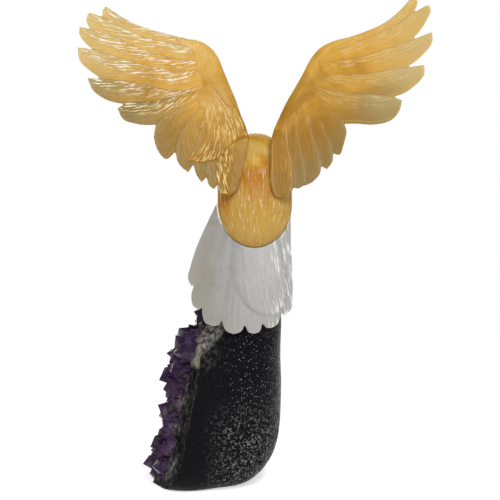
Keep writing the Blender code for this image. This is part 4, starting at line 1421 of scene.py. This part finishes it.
def crust_material(name, look):
    """Black lacquered crust with gravel, and layers of agate and quartz on the broken faces. Grey on the
    bumps of the gravel low on its right is a painted highlight, and bright specks are painted glints.
    """
    material, tree, shader = new_material(name)
    zone, patch = split(tree, attribute(tree, "lay", "Vector")), attribute(tree, "thin", "Fac")
    inset, low, broken = zone["X"], zone["Y"], zone["Z"]
    spot = object_spot(tree)
    place = split(tree, spot)
    across, level = (calculate(tree, "DIVIDE", place[axis], MM) for axis in ("X", "Z"))
    grit = noise_texture(tree, spot, 330.0, 4.0, 0.7)
    gravel = noise_texture(tree, spot, 620.0, 3.0, 0.7)
    sheen_noise = noise_texture(tree, spot, 640.0, 2.0, 0.6, 0.6)
    sway = swing(tree, noise_texture(tree, spot, 90.0, 3.0, 0.6), 9.0)
    layers = broken_layers(tree, look, plus(tree, inset, sway), sway, patch, grit, level)
    bloom = span(tree, grit, 0.60, 0.78, 0.0, 0.5)
    black = blend_colours(tree, bloom, look.black, tinted(look.black, 2, 0.004))
    # Painted highlight: grey on the bumps of the gravel low on the right, standing in for the light they
    # catch
    greying_and_sheen = times(tree, times(tree, span(tree, sheen_noise, 0.42, 0.56), span(tree, gravel, 0.48, 0.60)), low)
    colour = blend_colours(tree, broken, blend_colours(tree, greying_and_sheen, black, PEBBLE_SHEEN), layers)
    # Painted glints: bright specks that stand in for highlights
    colour = blend_colours(tree, painted_glints(tree, spot, plus(tree, across, sway)), colour, PAINTED_GLINT)
    relief = plus(tree, times(tree, grit, 0.5), times(tree, gravel, plus(tree, low, 0.35)))
    finish_shader(tree, shader, colour, relief, 1.0, 2.4 * MM, {
        "Roughness": span(tree, grit, 0.3, 0.7, 0.14, 0.34),
        "Specular IOR Level": 0.045,
    })
    return material


def amethyst_material(name, look):
    """Clear quartz points that deepen to violet at their tips, with a fine grain of grey and dark."""
    material, tree, shader = new_material(name)
    tip, spot = attribute(tree, "thin", "Fac"), object_spot(tree)
    cloud = noise_texture(tree, spot, 70.0, 3.0, 0.6)
    grain = noise_texture(tree, spot, 380.0, 4.0, 0.7)
    pale = blend_colours(tree, span(tree, cloud, 0.5, 0.6), DUSKY_FOOT, PALE_FOOT)
    violet = tinted(look.amethyst, 2.0, 0.014)
    deep = blend_colours(tree, span(tree, cloud, 0.4, 0.65), look.amethyst, violet)
    colour = blend_colours(tree, span(tree, tip, 0.05, 0.6), pale, deep)
    dark = tinted(look.amethyst, 0.3)
    colour = blend_colours(tree, span(tree, grain, 0.48, 0.34, 0.0, 0.75), colour, dark)
    colour = blend_colours(tree, span(tree, grain, 0.54, 0.72, 0.0, 0.6), colour, LILAC_GREY)
    finish_shader(tree, shader, colour, grain, 0.5, 0.5 * MM, {
        "Roughness": 0.25,
        "IOR": 1.54,
        "Specular IOR Level": 0.16,
        "Transmission Weight": 0.08,
    })
    return material


def finish(piece, node, material):
    piece.data.materials.append(material)
    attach(piece, "root")
    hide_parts(node)


class EAGLE_OT_crust(bpy.types.Operator):
    """Shapes the chunk of geode with its black crust and its broken faces"""

    bl_idname = "eagle.crust"
    bl_label = "Geode Crust"
    bl_options = {"REGISTER", "UNDO"}

    def execute(self, context):
        look = context.scene.eagle_stone
        block = stone_rings_form(96)
        for broken in BREAKS:
            cut_face(block, broken)
        carving = Carving()
        carving.add(block, [(0.0, 0.0, 0.0, 0.0)] * len(block.verts))
        form, lays = carving.unite(look.grain)
        heights = []
        for k, vert in enumerate(form.verts):
            spot = vert.co
            depths = [past_break(spot, broken) for broken in BREAKS]
            wedge = depths[BREAKS.index(WEDGE_BREAK)]
            inset = max(rim_inset(spot), 0)
            inside = pocket_share(spot)
            broken = ease((max(depths) + 1.2 * MM) / (0.9 * MM)) * ease(inset / (0.6 * MM))
            broken = max(broken, ease((1.1 - inside) / 0.2))
            patch = max(ease((wedge + 1.6 * MM) / (1.2 * MM)), ease((1.15 - inside) / 0.3))
            low = ease((GRAVEL_TOP - spot.z) / GRAVEL_FADE) * ease((spot.x + 8 * MM) / (24 * MM))
            lays[k] = (inset, low * MM, broken, patch)
            grown = min(noise.voronoi(spot / look.pebble)[0][0] * 1.25, 1)
            pebbles = (grown**2 - 0.2) * look.pebble_depth * mix(0.2, 1.25, low)
            lumps = noise.noise(spot / SKIN_LUMP) * SKIN_LUMP_DEPTH
            rubble = noise.turbulence(spot / RUBBLE_SIZE, 3, True) * RUBBLE_DEPTH
            level = ease(spot.z / (1.5 * MM)) * mix(0.3, 1, ease((STONE_HEIGHT - spot.z) / (2 * MM)))
            heights.append(-max(mix(pebbles + lumps - 0.1 * MM, rubble, broken), 0) * level)
        push(form, heights)
        piece = solid("geode_crust", form, lays)
        finish(piece, "amethyst_stone", crust_material("geode crust", look))
        return {"FINISHED"}


class EAGLE_OT_points(bpy.types.Operator):
    """Grows the amethyst points on the broken faces"""

    bl_idname = "eagle.points"
    bl_label = "Amethyst Points"
    bl_options = {"REGISTER", "UNDO"}

    def execute(self, context):
        look = context.scene.eagle_stone
        chance = random.Random(11)
        carving = Carving()
        for pitch, sizes in ((look.pitch, (0.5, 1.3)), (look.pitch * 0.5, (0.25, 0.62))):
            for broken in (DRUSE_BREAK, RIM_BREAK, TOP_BREAK):
                for foot, tilt, size, turn, extra in point_places(broken, pitch, sizes, look, chance):
                    shank, tip = (4 + 2.6 * size) * MM + extra, look.tip * size
                    root = foot - tilt * POINT_SUNK
                    form = crystal(root, tilt, look.radius * size, shank, tip, turn, chance)
                    reach = [(vert.co - foot).dot(tilt) / (shank + tip) * 1.4 for vert in form.verts]
                    carving.add(form, [(0.0, 0.0, 0.0, min(max(share, 0), 1)) for share in reach])
        form = carving.whole
        for vert in form.verts:
            vert.co = [min(max(value, a), b) for value, a, b in zip(vert.co, STONE_LOW, STONE_HIGH)]
        piece = solid("amethyst_points", form, np.array(carving.lays, np.float32))
        piece.data.shade_flat()
        finish(piece, "amethyst_stone", amethyst_material("amethyst", look))
        return {"FINISHED"}


class EAGLE_OT_body(bpy.types.Operator):
    """Carves the trunk, the breast, the legs and the feet"""

    bl_idname = "eagle.body"
    bl_label = "Body and Legs"
    bl_options = {"REGISTER", "UNDO"}

    def execute(self, context):
        look = context.scene.eagle_body
        carving = Carving()
        add_part(carving, trunk_rings(), 96, 0.0)
        add_part(carving, egg_rings(BREAST_MIDDLE, heading(90, BREAST_RISE), BREAST_HALVES, 40), 80, 0.0)
        for side in (-1, 1):
            add_leg(carving, side)
        form, lays = carving.unite(look.grain)
        heights = coordinates(form)[:, 2]
        joint = np.clip(1 - np.abs(heights - HIPS.z - 40 * MM) / (26 * MM), 0, 1)
        soften(form, joint * (lays[:, 2] < 1.5), 12)
        form.normal_update()
        back = np.array([-vert.normal.y for vert in form.verts])
        behind = np.clip(back * 1.6 + 0.5, 0, 1)
        feet = np.clip(lays[:, 2] - 1, 0, 1)
        lines = strokes(lays, 2.0 * MM, 14 * MM) * look.stroke_depth
        rows = -(1 - scales(lays, 7 * MM, 6 * MM)) * look.scale_depth
        rings = -np.clip(np.sin(lays[:, 0] * 2 * math.pi / TOE_RING_PITCH), 0, 1) ** 3 * TOE_RING_DEPTH
        relief = (lines * behind + rows * (1 - behind)) * (1 - feet) + rings * feet
        relief *= np.clip((heights - STONE_HEIGHT) / (2 * MM), 0, 1)
        crown = np.clip((heights - CROWN_HEIGHT) / (8 * MM), 0, 1)
        push(form, relief * (1 - crown))
        lays[:, 2] -= 0.4 * crown
        piece = solid("carved_body", form, lays)
        material = honey_calcite(
            "body calcite", context.scene.eagle_wings, BODY_LAYERS, LEFT_TIP_SHADING, BODY_GLINTS,
            slant=0.0, engraving=1.3, sparse=0.07,
        )
        finish(piece, "body", material)
        return {"FINISHED"}


class EAGLE_OT_tail(bpy.types.Operator):
    """Carves the fanned tail"""

    bl_idname = "eagle.tail"
    bl_label = "Tail"
    bl_options = {"REGISTER", "UNDO"}

    def execute(self, context):
        look = context.scene.eagle_body
        blade = Blade(crest=1.3 * MM, crest_at=0.0, rim=0.75 * MM, hollow=0.6, tilt=0.0)
        carving = Carving()
        for k, (lead, tip, trail, lift) in enumerate(TAIL_FEATHERS):
            edges = blade_edges(tail_depth, lead, tip, trail)
            carving.add(*feather(tail_depth, edges, blade, lift * TAIL_STEP, k * 40 * MM))
        form, lays = carving.unite(context.scene.eagle_wings.grain, trunk_seat())
        heights = coordinates(form)[:, 2]
        soften(form, np.clip((heights - TAIL_ROOT.z + TAIL_LENGTH * 0.6) / (TAIL_LENGTH * 0.4), 0.1, 1), 20)
        push(form, strokes(lays, 1.6 * MM, 16 * MM) * 0.05 * MM)
        piece = solid("carved_tail", form, lays)
        material = milky_calcite(
            "tail calcite", look.milk, look.grey, (-23, 17), 0.2, pitch=1.0, slant=0.1, glints=0.7
        )
        finish(piece, "tail", material)
        return {"FINISHED"}


class EAGLE_OT_head(bpy.types.Operator):
    """Carves the head with its eyes and brows"""

    bl_idname = "eagle.head"
    bl_label = "Head"
    bl_options = {"REGISTER", "UNDO"}

    def execute(self, context):
        look = context.scene.eagle_body
        carving = Carving()
        steps = 48
        add_part(carving, [head_ring(step / steps) for step in range(steps + 1)], 80, 0.0)
        middle, rise, across = head_ring(EYE_SHARE)
        way = rise.cross(across).normalized()
        way = way if way.y > 0 else -way
        eyes = [middle + rise * EYE_RISE + across * side * EYE_OUT for side in (-1, 1)]
        pupils = [eye + ACROSS * side * EYE_RADIUS for side, eye in zip((-1, 1), eyes)]
        for side, eye in zip((-1, 1), eyes):
            add_part(carving, egg_rings(eye, way, [EYE_RADIUS] * 3, 16), 24, 3.0)
            brow = eye + rise.normalized() * EYE_RADIUS * 1.05 - ACROSS * side * EYE_RADIUS * 0.25
            halves = [EYE_RADIUS * share for share in BROW_SHARES]
            add_part(carving, egg_rings(brow, way, halves, 18), 24, 0.0)
        form, lays = carving.unite(look.fine_grain)
        spots = coordinates(form)
        reach, drilled = (
            np.min([np.linalg.norm(spots - np.array(centre), axis=1) for centre in centres], axis=0)
            for centres in (eyes, pupils)
        )
        soften(form, np.clip((reach - EYE_RADIUS * 1.05) / (EYE_RADIUS * 0.5), 0, 1), 8)
        ring = np.exp(-((reach - EYE_RADIUS * 1.2) / (0.45 * MM)) ** 2)
        hole = np.exp(-((drilled / PUPIL_RADIUS) ** 4))
        lines = strokes(lays, 1.5 * MM, 8 * MM) * 0.24 * MM * np.clip((reach - 3.5 * MM) / (2 * MM), 0, 1)
        lines *= np.clip(lays[:, 0] / (3 * MM), 0, 1)
        push(form, lines - ring * SOCKET_DEPTH - hole * PUPIL_DEPTH)
        lays[:, 3] = np.maximum(ring, hole)
        piece = solid("carved_head", form, lays)
        material = milky_calcite(
            "head calcite", look.white, tinted(look.grey, 0.7), (-60, 0), 0.8,
            pitch=0.8, slant=0.0, glints=0.0,
        )
        finish(piece, "head", material)
        return {"FINISHED"}


class EAGLE_OT_beak(bpy.types.Operator):
    """Carves the hooked beak with its gape and nostrils"""

    bl_idname = "eagle.beak"
    bl_label = "Beak"
    bl_options = {"REGISTER", "UNDO"}

    def execute(self, context):
        look = context.scene.eagle_body
        line = head_line()
        way = curve_way(line, 1)
        rise = ACROSS.cross(way)
        base = line[-1] + way * GLUE_GAP
        carving = Carving()
        add_part(carving, beak_rings(base, way, rise), 56, 0.0)
        form, lays = carving.unite(look.fine_grain)
        soften(form, np.ones(len(lays)), 2)
        heights = []
        for vert in form.verts:
            offset = vert.co - base
            far, high = offset.dot(way) / BEAK_LENGTH, offset.dot(rise) / BEAK_LENGTH
            gape = math.exp(-(((high + 0.10 + 0.25 * max(far - 0.35, 0) ** 2) / 0.034) ** 2))
            gape *= ease((0.72 - far) / 0.1)
            nostril = math.exp(-((far - 0.2) ** 2 + (high - 0.13) ** 2) / 0.0022)
            ridge = math.exp(-(((far - 0.3 - 0.2 * high) / 0.03) ** 2)) * ease((high + 0.08) / 0.05)
            heights.append((-0.5 * gape - 0.8 * nostril - 0.2 * ridge) * MM)
        push(form, heights)
        piece = solid("carved_beak", form, lays)
        finish(piece, "beak", amber_calcite("beak calcite", look))
        return {"FINISHED"}


class WingOperator:
    """Shared by the two wings."""

    bl_options = {"REGISTER", "UNDO"}

    def carve(self, context, wing):
        look = context.scene.eagle_wings
        form, lays = wing_form(wing, look)
        piece = solid("carved_" + wing.name, form, lays)
        material = honey_calcite(
            wing.name + " calcite", look, wing.layers, wing.tip_shading, wing.glints, wing.slant,
            1 - wing.polish,
        )
        finish(piece, wing.name, material)
        return {"FINISHED"}


class EAGLE_OT_left_wing(WingOperator, bpy.types.Operator):
    """Carves the left wing with its engraved feathers"""

    bl_idname = "eagle.left_wing"
    bl_label = "Left Wing"

    def execute(self, context):
        return self.carve(context, LEFT_WING)


class EAGLE_OT_right_wing(WingOperator, bpy.types.Operator):
    """Carves the right wing, which is smoother"""

    bl_idname = "eagle.right_wing"
    bl_label = "Right Wing"

    def execute(self, context):
        return self.carve(context, RIGHT_WING)


# Stage
class EAGLE_OT_stage(bpy.types.Operator):
    """Sets up the pale floor, the soft studio light and the camera"""

    bl_idname = "eagle.stage"
    bl_label = "Floor, Light and Camera"
    bl_options = {"REGISTER", "UNDO"}

    def execute(self, context):
        scene = context.scene
        form = bmesh.new()
        bmesh.ops.create_circle(form, cap_ends=True, cap_tris=True, segments=96, radius=FLOOR_RADIUS)
        floor = solid("floor", form)
        material, _, shader = new_material("pale floor")
        plug(material.node_tree, shader, {
            "Base Color": (0.93, 0.93, 0.93, 1),
            "Roughness": 0.9,
            "Specular IOR Level": 0.1,
            "Emission Color": (1, 1, 1, 1),
            "Emission Strength": FLOOR_GLOW,
        })
        floor.data.materials.append(material)

        world = bpy.data.worlds.new("studio")
        scene.world = world
        world.use_nodes = True
        tree = world.node_tree
        sky = tree.nodes["Background"]
        sky.inputs["Color"].default_value = (1, 1, 1, 1)
        seen = tree.nodes.new("ShaderNodeLightPath").outputs["Is Camera Ray"]
        strength = add_node(tree, "ShaderNodeMapRange", {"Value": seen, "To Min": ROOM_LIGHT, "To Max": 1.0})
        tree.links.new(strength.outputs["Result"], sky.inputs["Strength"])
        for name, place, size, power in LAMPS:
            lamp = bpy.data.lights.new(name, "AREA")
            lamp.shape = "RECTANGLE"
            lamp.size, lamp.size_y = size
            lamp.energy = power
            light = bpy.data.objects.new(name, lamp)
            light.location = place
            light.rotation_euler = (VIEW_AIM - Vector(place)).to_track_quat("-Z", "Y").to_euler()
            scene.collection.objects.link(light)

        way, _ = view_axes()
        data = bpy.data.cameras.new("photo view")
        data.sensor_width = SENSOR_WIDTH
        data.lens = SENSOR_WIDTH * VIEW_DISTANCE / VIEW_WIDTH
        camera = bpy.data.objects.new("photo view", data)
        camera.location = VIEW_AIM - way * VIEW_DISTANCE
        camera.rotation_euler = way.to_track_quat("-Z", "Y").to_euler()
        scene.collection.objects.link(camera)
        scene.camera = camera
        scene.view_settings.view_transform = "Standard"
        return {"FINISHED"}


class EAGLE_PT_panel(bpy.types.Panel):
    """Lists the pieces of the eagle."""

    bl_label = "Eagle"
    bl_space_type = "VIEW_3D"
    bl_region_type = "UI"
    bl_category = "Eagle"

    def draw(self, context):
        for operator in OPERATORS:
            self.layout.operator(operator.bl_idname)
        for name in SETTINGS:
            group = getattr(context.scene, name)
            for key in group.bl_rna.properties.keys():
                if key not in ("rna_type", "name"):
                    self.layout.prop(group, key)


SETTINGS = {"eagle_stone": StoneSettings, "eagle_body": BodySettings, "eagle_wings": WingSettings}
OPERATORS = (
    EAGLE_OT_crust,
    EAGLE_OT_points,
    EAGLE_OT_body,
    EAGLE_OT_tail,
    EAGLE_OT_head,
    EAGLE_OT_beak,
    EAGLE_OT_left_wing,
    EAGLE_OT_right_wing,
    EAGLE_OT_stage,
)


def register():
    for group in SETTINGS.values():
        bpy.utils.register_class(group)
    for name, group in SETTINGS.items():
        setattr(bpy.types.Scene, name, PointerProperty(type=group))
    for kind in (*OPERATORS, EAGLE_PT_panel):
        bpy.utils.register_class(kind)


def unregister():
    for kind in (EAGLE_PT_panel, *OPERATORS):
        bpy.utils.unregister_class(kind)
    for name, group in SETTINGS.items():
        delattr(bpy.types.Scene, name)
        bpy.utils.unregister_class(group)


def main():
    register()
    for operator in OPERATORS:
        family, name = operator.bl_idname.split(".")
        getattr(getattr(bpy.ops, family), name)()


if __name__ == "__main__":
    main()
